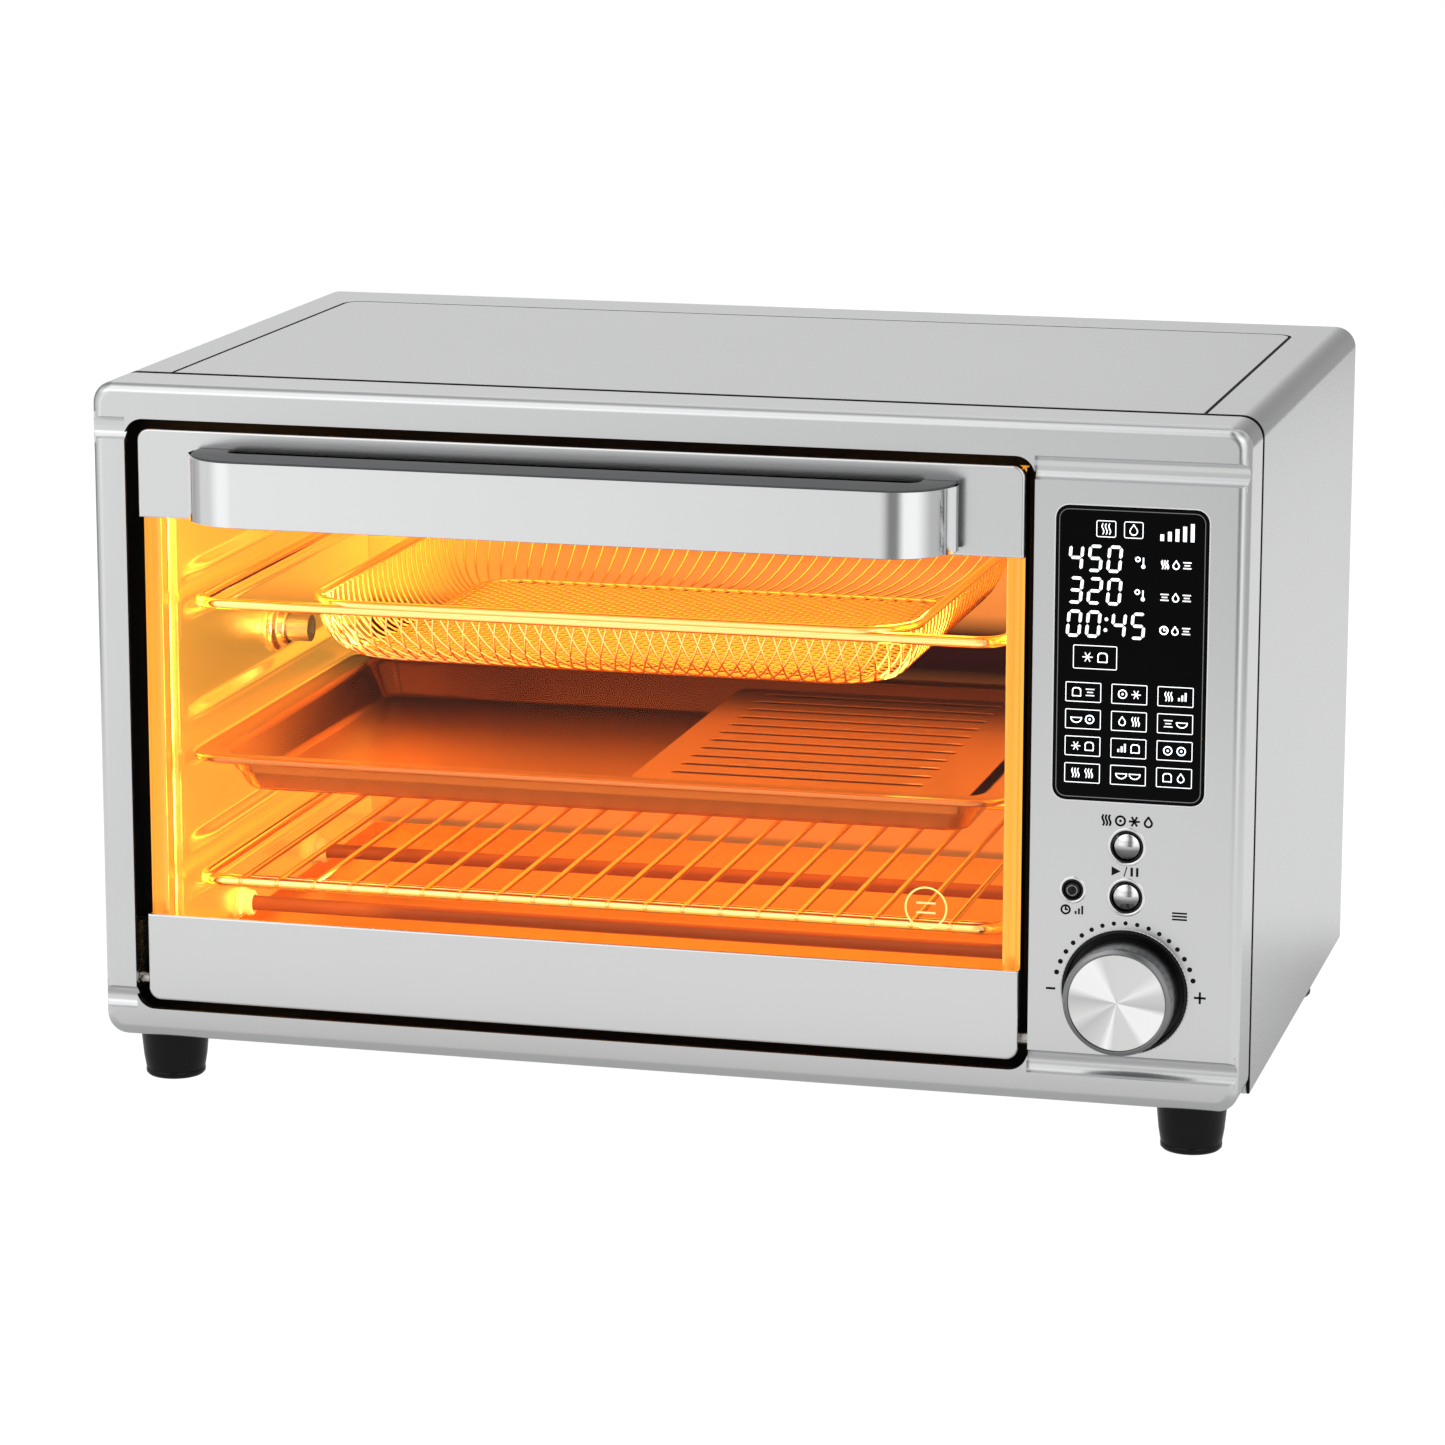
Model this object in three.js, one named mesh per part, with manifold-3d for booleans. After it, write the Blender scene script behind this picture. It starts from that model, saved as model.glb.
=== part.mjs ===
// Digital countertop toaster oven with a drop-down glass door, air-fry basket, baking tray,
// wire rack, rotisserie drive and side convection fan.  Millimetres, +Z up, front towards -Y.
// Origin: on the table, under the middle of the oven.  Inside the case group, y = 0 is the
// front face of the fascia and z = 0 is the underside of the case, on top of the feet.
import * as THREE from 'three';
import { mergeVertices } from 'three/addons/utils/BufferGeometryUtils.js';
import Module from 'manifold-3d';

const wasm = await Module();
wasm.setup();

// ---------------------------------------------------------------- driving dimensions
const FIT = 0.3; // gap left between two pieces that touch

// Case
const BODY_W = 480;
const BODY_H = 277;
const BODY_D = 296;
const CASE_R = 9; // radius of the long edges of the case
const SHEET = 1.2; // case sheet metal
const FASCIA_D = 32;
const FASCIA_WALL = 2.2;
const FASCIA_FILLET = 5;
const SEAM = 0.8; // shadow gap between fascia and wrap
const PANEL_W = 85.2; // control panel, door opening to right side
const LEFT_RAIL = 14.5; // fascia left of the door opening
const TOP_RAIL = 14.5;
const BOTTOM_RAIL = 12.5;
const OPENING_R = 8;
const FLUTE_W = 9.5; // concave horizontal grooves beside the door
const FLUTE_DEPTH = 3;
const FLUTE_BACKING = 1.2;
const FLUTE_LAP = 0.5; // flute past the edge of the door opening
const EMBOSS_INSET_X = 23;
const EMBOSS_INSET_REAR = 30;
const EMBOSS_W = 1.4;
const EMBOSS_DEPTH = 0.5;
const EMBOSS_R = 8;
const BASE_FLANGE = 12;
const BASE_SLOTS = 9; // air slots under each heater row
const BASE_SLOT_W = 4;
const VENT_W = 4;
const VENT_PITCH = 9;
const VENT_COLUMNS = 5;
const VENT_FROM_PANEL = 12; // vents behind the electronics: from the oven side
const VENT_FROM_SIDE = 14;
const VENT_FROM_FLOOR = 83;
const VENT_FROM_TOP = 55;

// Feet
const FOOT_H = 22;
const FOOT_TOP_R = 15;
const FOOT_BOTTOM_R = 12.5;
const FOOT_ROUND = 1.5;
const FOOT_INSET_X = 22;
const FOOT_INSET_Y = 25;

// Oven cavity
const CAVITY_SHEET = 1;
const FRAME_Y = 16.2; // front frame, behind the closed door
const FRAME_SHEET = 1.5;
const FRAME_PAST_OPENING = 4;
const CAVITY_GAP_LEFT = 11.5; // door opening to cavity wall
const CAVITY_GAP_RIGHT = 12.8;
const CAVITY_GAP_FLOOR = 11.5;
const CAVITY_GAP_CEILING = 12.5;
const REAR_SPACE = 15; // cavity back to rear of the case
const RAIL_H = 7;
const RAIL_DEPTH = 5.5;
const RAIL_END = 5; // rail stops short of the wall's ends
const RAIL_SLANT = 1.5; // sloping underside
const GROOVE_ABOVE = 8; // from a wire level to the anti-tilt rail above it
const GROOVE_ABOVE_TRAY = 11;

// Levels: the plane of the wires or rim, from cavity floor or ceiling
const LOWER_LEVEL = 38;
const UPPER_LEVEL = 69;
const TRAY_SHARE = 0.462; // tray level between the lower and the upper level

// Racks, trays and basket
const SLIDE_CLEAR = 3; // rack side to cavity wall
const RACK_FRONT = 28.5;
const RACK_REAR_CLEAR = 26;
const WIRE = 5; // frame wire
const CROSS_WIRE = 3;
const CROSS_PITCH = 16.05;
const CROSS_MARGIN = 22; // side wire to the first cross wire, at least
const CROSS_ABOVE = 1; // cross wires above the frame wire's middle
const RACK_R = 14;
const BASKET_SIDE_L = 49; // basket frame side to basket rim
const BASKET_SIDE_R = 39;
const BASKET_DEPTH = 29;
const BASKET_FLARE = 17;
const BASKET_SHEET = 1.6;
const BASKET_RIM = 4;
const BASKET_R = 26;
const TRAY_FRONT = 24;
const TRAY_RIM = 11;
const TRAY_DEPTH = 18;
const TRAY_SHEET = 1.2;
const TRAY_FLARE = 8;
const TRAY_R = 16;
const GRILL_CLEAR = 2.5; // grill plate to the tray's sloping walls
const GRILL_DROP = 3.5; // grill plate below the tray rim
const GRILL_SHARE = 0.46; // part of the tray's width that the grill plate covers
const GRILL_SLOT_PITCH = 16;
const GRILL_SLOT_W = 4;
const GRILL_EDGE_LEFT = 14; // plate edge to the slots
const GRILL_EDGE_RIGHT = 6;
const CRUMB_FRONT = 26;
const CRUMB_H = 7;
const CRUMB_SHEET = 1;
const CRUMB_REAR_CLEAR = 6;

// Heaters and sensor
const HEATER_R = 3.25;
const HEATER_FROM_FLOOR = 11;
const HEATER_FROM_CEILING = 16;
const HEATER_HALF_PITCH = 50; // from the cavity's middle, along y
const HEATER_OUT = 9; // terminal end beyond the cavity wall
const SENSOR_R = 2;
const SENSOR_REACH = 22;
const SENSOR_TAIL = 10;
const SENSOR_NUT_T = 4;
const SENSOR_FROM_REAR = 40;
const SENSOR_FROM_CEILING = 44;

// Rotisserie drive and convection fan
const SPIT_BELOW_MIDDLE = 1; // below the middle of tray level and basket level
const SPIT_SHAFT_R = 6;
const SPIT_SOCKET_R = 11;
const SPIT_SOCKET_OUT = 7;
const SPIT_SEAT_CLEAR = 1; // rails stop this far round the socket and the support
const SPIT_SQUARE = 5.6; // square hole in the shaft's end
const SPIT_SQUARE_DEPTH = 10;
const SPIT_BARREL_WALL = 2;
const SUPPORT_W = 18;
const SUPPORT_H = 20;
const SUPPORT_T = 2;
const SUPPORT_OUT = 9;
const SUPPORT_NOTCH_R = 4.5;
const SUPPORT_STUD_R = 2.5;
const SPIT_SHAFT_OUT = 17;
const SPIT_MOTOR_R = 25;
const SPIT_MOTOR_T = 15;
const FAN_R = 46;
const FAN_BEHIND = 54; // fan axis behind the spit axis
const FAN_HOUSING_DEPTH = 18;
const FAN_SHAFT_R = 3;
const FAN_MOTOR_R = 28;
const FAN_MOTOR_L = 30;
const FAN_BLADES = 8;
const FAN_BLADE_W = 9;
const FAN_SHEET = 1.2;
const FAN_HUB_R = 10;
const FAN_HUB_T = 8;
const FAN_SLOT_W = 4;
const FAN_SLOT_PITCH = 10;
const FAN_SLOTS = 8;
const FAN_SLOT_CLEAR = 1; // slot to the rails above and below it
const HOUSING_CLEAR = 4;
const HOUSING_FLANGE = 6;
const HOUSING_SHEET = 1;

// Door
const DOOR_GAP = 4;
const DOOR_R = 5;
const DOOR_GAP_LEFT = 5.5;
const DOOR_SHEET = 1.4;
const DOOR_BAND = 37; // height of the steel bands above and below the glass
const DOOR_DEPTH = 13;
const GLASS = 4;
const GLASS_LAP = 7.5; // glass behind each band
const STILE_W = 7.5;
const BAND_SHORT = 1; // edges of the bands stop short of the back of the glass
const HINGE_ABOVE_DOOR = 7.5;
const HINGE_PIN_R = 2.5;
const PIN_FIT = 0.4;
const HINGE_ARM_LAP = 3; // arm behind the foot of the glass
const HINGE_ARM_W = 6.2;
const HINGE_SIDE_CLEAR = 0.8; // door opening to the bracket
const PIN_END = 11; // pin end beyond the door opening
const BRACKET_T = 2.5;
const BRACKET_BELOW = 3.8; // below and above the hinge line
const BRACKET_ABOVE = 24;
const BRACKET_TAB = 8;
const BRACKET_TAB_FROM = 8; // foot of the tab above the hinge line
const SPRING_WIRE = 1.2;
const SPRING_TURNS = 3;

// Handle
const HANDLE_INSET = 25.25; // door side to handle end
const HANDLE_H = 27.5;
const HANDLE_BELOW_TOP = 7; // door top to handle top
const HANDLE_REACH = 31; // door face to front of the handle
const HANDLE_BAR = 22; // bar, front to back
const HANDLE_R = 26;
const HANDLE_STRIP = 1.2;
const HANDLE_FOOT = 16;
const HANDLE_SCREW_R = 2;
const SCREW_HEAD_R = 4;
const SCREW_HEAD_T = 2.2;
const SCREW_BITE = 2; // screw into the bar behind the foot

// Control panel
const CONTROL_X = 39.1; // door opening to the line of knob, buttons and display
const DISPLAY_W = 60.4;
const DISPLAY_BELOW_TOP = 33.2;
const DISPLAY_ABOVE_BUTTON = 18.2;
const DISPLAY_R = 5;
const DISPLAY_T = 2.6;
const KNOB_Z = 48;
const KNOB_R = 22;
const KNOB_REACH = 18;
const KNOB_CHAMFER = 1.6;
const KNOB_CAP_T = 0.8;
const BEZEL_CLEAR = 1.9;
const BEZEL_WALL = 1.3;
const BEZEL_DEPTH = 4;
const BEZEL_PROUD = 0.8;
const SHAFT_R = 3;
const START_ABOVE_BEZEL = 13.8;
const FUNCTION_ABOVE_START = 20.6;
const TIMER_LEFT = 21.6;
const TIMER_ABOVE_START = 1.7;
const BUTTON_R = 5.6;
const TIMER_BUTTON_R = 3.4;
const COLLAR_R = 7.1;
const TIMER_COLLAR_R = 4.8;
const BUTTON_REACH = 1.8;
const BUTTON_TRAVEL = 1.5;
const BUTTON_CROWN = 0.6;
const BUTTON_FLANGE = 1.2;
const COLLAR_PROUD = 0.4;
const GUIDE_EDGE = 3; // guide plate beyond the collars
const GUIDE_Y = 2.8;
const GUIDE_T = 2;
const BOARD_Y = 10.2;
const BOARD_T = 1.6;
const BOARD_W = 68;
const BOARD_BELOW_KNOB = 14;
const BOARD_ABOVE_DISPLAY = 2;
const MODULE_INSET = 4;
const SWITCH_R = 2;
const ENCODER_SIZE = 14;
const SHAFT_IN_KNOB = 12;
const CAP_GAP = 0.8; // knob chamfer to the cap

// Cord entry
const GLAND_FROM_RIGHT = 42;
const GLAND_Z = 40;
const GLAND_R = 8;
const GLAND_FLANGE_R = 11;
const GLAND_OUT = 5;
const GLAND_INSIDE = 4;
const CORD_R = 4;

// ---------------------------------------------------------------- worked-out places
const HALF_W = BODY_W / 2;
const OPEN = {
  x0: -HALF_W + LEFT_RAIL,
  x1: HALF_W - PANEL_W,
  z0: BOTTOM_RAIL,
  z1: BODY_H - TOP_RAIL,
};
const CAVITY = {
  x0: OPEN.x0 + CAVITY_GAP_LEFT,
  x1: OPEN.x1 - CAVITY_GAP_RIGHT,
  y0: FRAME_Y + FRAME_SHEET + FIT,
  y1: BODY_D - REAR_SPACE,
  z0: OPEN.z0 + CAVITY_GAP_FLOOR,
  z1: OPEN.z1 - CAVITY_GAP_CEILING,
};
const CAVITY_MID = {
  x: (CAVITY.x0 + CAVITY.x1) / 2,
  y: (CAVITY.y0 + CAVITY.y1) / 2,
  z: (CAVITY.z0 + CAVITY.z1) / 2,
};
const DOOR = {
  x0: OPEN.x0 + DOOR_GAP_LEFT,
  x1: OPEN.x1 - DOOR_GAP,
  z0: OPEN.z0 + DOOR_GAP,
  z1: OPEN.z1 - DOOR_GAP,
};
const LEVEL = { rack: CAVITY.z0 + LOWER_LEVEL, basket: CAVITY.z1 - UPPER_LEVEL };
LEVEL.tray = LEVEL.rack + TRAY_SHARE * (LEVEL.basket - LEVEL.rack);
const RACK = { x0: CAVITY.x0 + SLIDE_CLEAR, x1: CAVITY.x1 - SLIDE_CLEAR };
const SLIDE_REAR = CAVITY.y1 - RACK_REAR_CLEAR;
const HINGE_Z = DOOR.z0 + HINGE_ABOVE_DOOR;
const SPIT_Z = (LEVEL.tray + LEVEL.basket) / 2 - SPIT_BELOW_MIDDLE;
const FAN_Y = CAVITY_MID.y + FAN_BEHIND;
const HEATER_YS = [CAVITY_MID.y - HEATER_HALF_PITCH, CAVITY_MID.y + HEATER_HALF_PITCH];
const HEATER_ZS = [CAVITY.z0 + HEATER_FROM_FLOOR, CAVITY.z1 - HEATER_FROM_CEILING];
const CONTROL = OPEN.x1 + CONTROL_X;
const BEZEL_R = KNOB_R + BEZEL_CLEAR + BEZEL_WALL;
const START_Z = KNOB_Z + BEZEL_R + START_ABOVE_BEZEL;
const FUNCTION_Z = START_Z + FUNCTION_ABOVE_START;
const DISPLAY = {
  x0: CONTROL - DISPLAY_W / 2,
  x1: CONTROL + DISPLAY_W / 2,
  z0: FUNCTION_Z + DISPLAY_ABOVE_BUTTON,
  z1: BODY_H - DISPLAY_BELOW_TOP,
};
const BUTTONS = [
  { name: 'function_button', x: CONTROL, z: FUNCTION_Z, r: BUTTON_R, collar: COLLAR_R },
  { name: 'start_button', x: CONTROL, z: START_Z, r: BUTTON_R, collar: COLLAR_R },
  {
    name: 'timer_button',
    x: CONTROL - TIMER_LEFT,
    z: START_Z + TIMER_ABOVE_START,
    r: TIMER_BUTTON_R,
    collar: TIMER_COLLAR_R,
  },
];
const HANDLE = {
  x0: DOOR.x0 + HANDLE_INSET,
  x1: DOOR.x1 - HANDLE_INSET,
  z0: DOOR.z1 - HANDLE_BELOW_TOP - HANDLE_H,
  z1: DOOR.z1 - HANDLE_BELOW_TOP,
};
const HANDLE_FEET = [HANDLE.x0 + HANDLE_FOOT / 2, HANDLE.x1 - HANDLE_FOOT / 2];
const HANDLE_MID_Z = (HANDLE.z0 + HANDLE.z1) / 2;
const GLASS_Y = DOOR_SHEET + FIT;
const GLASS_BACK = GLASS_Y + GLASS;
const GLASS_Z = [DOOR.z0 + DOOR_BAND - GLASS_LAP, DOOR.z1 - DOOR_BAND + GLASS_LAP];
const BAND_DEPTH = GLASS_BACK - BAND_SHORT;
const HINGE_Y = BAND_DEPTH + FIT + HINGE_PIN_R;
const HINGE_ARM_TOP = GLASS_Z[0] + HINGE_ARM_LAP;
const WRAP_FRONT = FASCIA_D + SEAM;
const REAR_Y = BODY_D - SHEET;
const REAR_REACH = REAR_Y + GLAND_OUT;
const INSIDE_X = HALF_W - SHEET - FIT;
const GLAND_X = HALF_W - GLAND_FROM_RIGHT;
const SENSOR_Y = CAVITY.y1 - SENSOR_FROM_REAR;
const SENSOR_Z = CAVITY.z1 - SENSOR_FROM_CEILING;
const FLUTE_ARC_R = (FLUTE_W ** 2 / 4 + FLUTE_DEPTH ** 2) / (2 * FLUTE_DEPTH);
const FLUTE_ZS = [OPEN.z0 + FLUTE_W / 2 - FLUTE_LAP, OPEN.z1 - FLUTE_W / 2 + FLUTE_LAP];
// The liner's outer faces, which the side walls' outer faces lie on
const LINER = { x0: CAVITY.x0 - CAVITY_SHEET, x1: CAVITY.x1 + CAVITY_SHEET };

// ---------------------------------------------------------------- materials
const material = (color, roughness, metalness) =>
  new THREE.MeshStandardMaterial({ color, roughness, metalness });
const STEEL = material(0xc9cacb, 0.32, 1);
const CASE_STEEL = material(0xbfc1c3, 0.4, 1);
const CAVITY_STEEL = material(0xb9b4aa, 0.35, 1);
const WIRE_CHROME = material(0xd6d6d6, 0.15, 1);
const BLACK_ENAMEL = material(0x151515, 0.5, 0.2);
const TRAY_COATING = material(0x4a3a30, 0.45, 0.3);
const HANDLE_PLASTIC = material(0x3c3f42, 0.5, 0);
const BLACK_PLASTIC = material(0x0d0d0d, 0.25, 0);
const GREY_PLASTIC = material(0x6a6c6e, 0.4, 0.3);
const SPUN_ALUMINIUM = material(0xd9dadb, 0.22, 1);
const BUTTON_CHROME = material(0xe4e4e4, 0.1, 1);
const DISPLAY_GLASS = material(0x050505, 0.08, 0);
const DOOR_GLASS = material(0xe9e4da, 0.05, 0);
const HEATER_METAL = material(0x6b4a38, 0.6, 0.6);
const BOARD_GREEN = material(0x1d4d34, 0.6, 0);
const MOTOR_STEEL = material(0x8c8f92, 0.5, 0.9);
const HARDWARE = material(0xa8abad, 0.35, 1);
const FAN_ALUMINIUM = material(0xb8babc, 0.45, 1);

// ---------------------------------------------------------------- solids
const ROUND_RECT_SEGMENTS = 3;
const CIRCLE_SEGMENTS = 12;

function solid(geometry) {
  const bare = geometry.clone();
  bare.deleteAttribute('normal');
  bare.deleteAttribute('uv');
  const merged = mergeVertices(bare, 1e-4);
  const corners = merged.index.array;
  const kept = [];
  for (let i = 0; i < corners.length; i += 3) {
    const [a, b, c] = corners.slice(i, i + 3);
    if (a !== b && b !== c && c !== a) kept.push(a, b, c);
  }
  const mesh = new wasm.Mesh({
    numProp: 3,
    vertProperties: new Float32Array(merged.attributes.position.array),
    triVerts: new Uint32Array(kept),
  });
  return new wasm.Manifold(mesh);
}

function geometryOf(manifold) {
  const mesh = manifold.getMesh();
  const geometry = new THREE.BufferGeometry();
  geometry.setAttribute('position', new THREE.BufferAttribute(mesh.vertProperties, 3));
  geometry.setIndex(new THREE.BufferAttribute(mesh.triVerts, 1));
  geometry.computeVertexNormals();
  return geometry;
}

const joined = (first, ...others) => others.reduce((sum, piece) => sum.add(piece), first);
const cut = (first, ...others) => others.reduce((rest, piece) => rest.subtract(piece), first);

function box(x0, x1, y0, y1, z0, z1) {
  const geometry = new THREE.BoxGeometry(x1 - x0, y1 - y0, z1 - z0);
  return solid(geometry.translate((x0 + x1) / 2, (y0 + y1) / 2, (z0 + z1) / 2));
}

function roundRect(u0, u1, v0, v1, r) {
  const shape = new THREE.Shape();
  shape.absarc(u1 - r, v0 + r, r, -Math.PI / 2, 0);
  shape.absarc(u1 - r, v1 - r, r, 0, Math.PI / 2);
  shape.absarc(u0 + r, v1 - r, r, Math.PI / 2, Math.PI);
  shape.absarc(u0 + r, v0 + r, r, Math.PI, 1.5 * Math.PI);
  shape.closePath();
  return shape;
}

function polygon(points) {
  return new THREE.Shape(points.map(([u, v]) => new THREE.Vector2(u, v)));
}

const extruded = (shape, depth, segments = ROUND_RECT_SEGMENTS) =>
  new THREE.ExtrudeGeometry(shape, { depth, bevelEnabled: false, curveSegments: segments });

// A flat outline seen from the front (x, z) or from above (x, y)
function frontPlate(shape, y0, y1, segments) {
  return solid(extruded(shape, y1 - y0, segments).rotateX(Math.PI / 2).translate(0, y1, 0));
}

function flatPlate(shape, z0, z1, segments) {
  return solid(extruded(shape, z1 - z0, segments).translate(0, 0, z0));
}

// A rod along one axis, from a to b on that axis
function rodX(y, z, r, x0, x1, sides = 2 * CIRCLE_SEGMENTS) {
  const geometry = new THREE.CylinderGeometry(r, r, x1 - x0, sides);
  return solid(geometry.rotateZ(Math.PI / 2).translate((x0 + x1) / 2, y, z));
}

function rodY(x, z, r, y0, y1, sides = 2 * CIRCLE_SEGMENTS) {
  const geometry = new THREE.CylinderGeometry(r, r, y1 - y0, sides);
  return solid(geometry.translate(x, (y0 + y1) / 2, z));
}

// A turned piece: profile of [radius, distance along the axis]
function turned(profile, sides) {
  return new THREE.LatheGeometry(profile.map(([r, a]) => new THREE.Vector2(r, a)), sides);
}

// Turned about an axis along y through (x, z), distance measured towards the back
function turnedY(profile, x, z, sides = 2 * CIRCLE_SEGMENTS) {
  return solid(turned(profile, sides).translate(x, 0, z));
}

// Turned about an axis along x through (y, z), distance measured to the right
function turnedX(profile, y, z, sides = 2 * CIRCLE_SEGMENTS) {
  return solid(turned(profile, sides).rotateZ(-Math.PI / 2).translate(0, y, z));
}

// A slab whose sides lean outwards by flare from bottom to top
function flaredSlab(x0, x1, y0, y1, r, z0, z1, flare) {
  const geometry = extruded(roundRect(x0, x1, y0, y1, r), z1 - z0).translate(0, 0, z0);
  const spot = geometry.attributes.position;
  const middle = [(x0 + x1) / 2, (y0 + y1) / 2];
  const grow = [1 + (2 * flare) / (x1 - x0), 1 + (2 * flare) / (y1 - y0)];
  for (let i = 0; i < spot.count; i += 1) {
    if (spot.getZ(i) > (z0 + z1) / 2) {
      spot.setX(i, middle[0] + (spot.getX(i) - middle[0]) * grow[0]);
      spot.setY(i, middle[1] + (spot.getY(i) - middle[1]) * grow[1]);
    }
  }
  return solid(geometry);
}

// A closed loop of bent wire lying flat, its middle plane at z
function wireLoop(x0, x1, y0, y1, r, z, wire) {
  const bevel = wire * 0.29;
  const flat = wire - 2 * bevel;
  const shape = roundRect(x0 + bevel, x1 - bevel, y0 + bevel, y1 - bevel, r - bevel);
  const inset = wire - bevel;
  shape.holes.push(roundRect(x0 + inset, x1 - inset, y0 + inset, y1 - inset, r - inset));
  const geometry = new THREE.ExtrudeGeometry(shape, {
    depth: flat,
    bevelSize: bevel,
    bevelThickness: bevel,
    bevelSegments: 1,
    curveSegments: 2,
  });
  return solid(geometry.translate(0, 0, z - flat / 2));
}

// The case outline between two depths, with a rounded front edge
function filletBlock(inset, front, fillet, rear) {
  const edge = inset + fillet;
  const r = CASE_R - edge;
  const shape = roundRect(-HALF_W + edge, HALF_W - edge, edge, BODY_H - edge, r);
  const geometry = new THREE.ExtrudeGeometry(shape, {
    depth: rear - front,
    bevelSize: fillet,
    bevelThickness: fillet,
    bevelSegments: 3,
    curveSegments: 2,
  });
  const block = solid(geometry.rotateX(Math.PI / 2).translate(0, rear + fillet, 0));
  return block.intersect(box(-BODY_W, BODY_W, front, rear, -BODY_H, 2 * BODY_H));
}

// ---------------------------------------------------------------- assembly
const oven = new THREE.Group();
const body = new THREE.Group();
body.position.set(0, (HANDLE_REACH - REAR_REACH) / 2, FOOT_H);
oven.add(body);

function add(name, shape, finish) {
  const mesh = new THREE.Mesh(geometryOf(shape), finish);
  mesh.name = name;
  body.add(mesh);
  return mesh;
}

// ---------------------------------------------------------------- case
function flute(z, r, x0, x1) {
  const centreY = FLUTE_DEPTH - FLUTE_ARC_R;
  return rodX(centreY, z, r, x0, x1);
}

function frontFascia() {
  let shell = filletBlock(0, 0, FASCIA_FILLET, FASCIA_D);
  const hollow = filletBlock(
    FASCIA_WALL,
    FASCIA_WALL,
    FASCIA_FILLET - FASCIA_WALL,
    FASCIA_D + FASCIA_WALL,
  );
  shell = shell.subtract(hollow);
  const inside = HALF_W - FASCIA_WALL / 2;
  for (const z of FLUTE_ZS) {
    for (const [x0, x1] of [[-inside, OPEN.x0], [OPEN.x1, inside]]) {
      const backing = flute(z, FLUTE_ARC_R + FLUTE_BACKING, x0, x1);
      const room = box(x0, x1, FASCIA_WALL / 2, FASCIA_D / 2, 0, BODY_H);
      shell = shell.add(backing.intersect(room));
    }
    shell = shell.subtract(flute(z, FLUTE_ARC_R, -BODY_W, OPEN.x0 + FIT));
    shell = shell.subtract(flute(z, FLUTE_ARC_R, OPEN.x1 - FIT, BODY_W));
  }
  const through = [-FASCIA_WALL, FASCIA_D];
  const opening = roundRect(OPEN.x0, OPEN.x1, OPEN.z0, OPEN.z1, OPENING_R);
  const windowEdge = [DISPLAY.x0 - FIT, DISPLAY.x1 + FIT, DISPLAY.z0 - FIT, DISPLAY.z1 + FIT];
  const window = roundRect(...windowEdge, DISPLAY_R + FIT);
  shell = cut(shell, frontPlate(opening, ...through), frontPlate(window, ...through));
  shell = shell.subtract(rodY(CONTROL, KNOB_Z, BEZEL_R + FIT, ...through));
  for (const { x, z, collar } of BUTTONS) {
    shell = shell.subtract(rodY(x, z, collar + FIT, ...through, CIRCLE_SEGMENTS));
  }
  return shell;
}

function wrapOutline(inset) {
  const x = HALF_W - inset;
  const top = BODY_H - inset;
  const r = CASE_R - inset;
  const shape = new THREE.Shape();
  shape.moveTo(-x, 0);
  shape.lineTo(x, 0);
  shape.absarc(x - r, top - r, r, 0, Math.PI / 2);
  shape.absarc(-x + r, top - r, r, Math.PI / 2, Math.PI);
  shape.closePath();
  return shape;
}

function outerWrap() {
  const skin = frontPlate(wrapOutline(0), WRAP_FRONT, BODY_D);
  const room = frontPlate(wrapOutline(SHEET), WRAP_FRONT - SHEET, BODY_D + SHEET);
  const lowered = room.translate([0, 0, -SHEET]).add(room);
  const x = HALF_W - EMBOSS_INSET_X;
  const rear = BODY_D - EMBOSS_INSET_REAR;
  const line = (inset) =>
    roundRect(-x + inset, x - inset, -BODY_D, rear - inset, EMBOSS_R - inset);
  const z = [BODY_H - EMBOSS_DEPTH, BODY_H + SHEET];
  const groove = flatPlate(line(0), ...z).subtract(flatPlate(line(EMBOSS_W), ...z));
  return cut(skin, lowered, groove);
}

function basePan() {
  const y0 = WRAP_FRONT;
  const y1 = REAR_Y - 2 * FIT;
  const tray = box(-INSIDE_X, INSIDE_X, y0, y1, 0, BASE_FLANGE);
  const x = INSIDE_X - SHEET;
  let pan = tray.subtract(box(-x, x, y0 - SHEET, y1 + SHEET, SHEET, 2 * BASE_FLANGE));
  const pitch = (CAVITY.x1 - CAVITY.x0) / BASE_SLOTS;
  const half = BASE_SLOT_W / 2;
  for (let i = 0; i < BASE_SLOTS; i += 1) {
    const slotX = [CAVITY.x0 + (i + 1 / 6) * pitch, CAVITY.x0 + (i + 5 / 6) * pitch];
    for (const y of HEATER_YS) {
      pan = pan.subtract(box(...slotX, y - half, y + half, -SHEET, 2 * SHEET));
    }
  }
  return pan;
}

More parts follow.
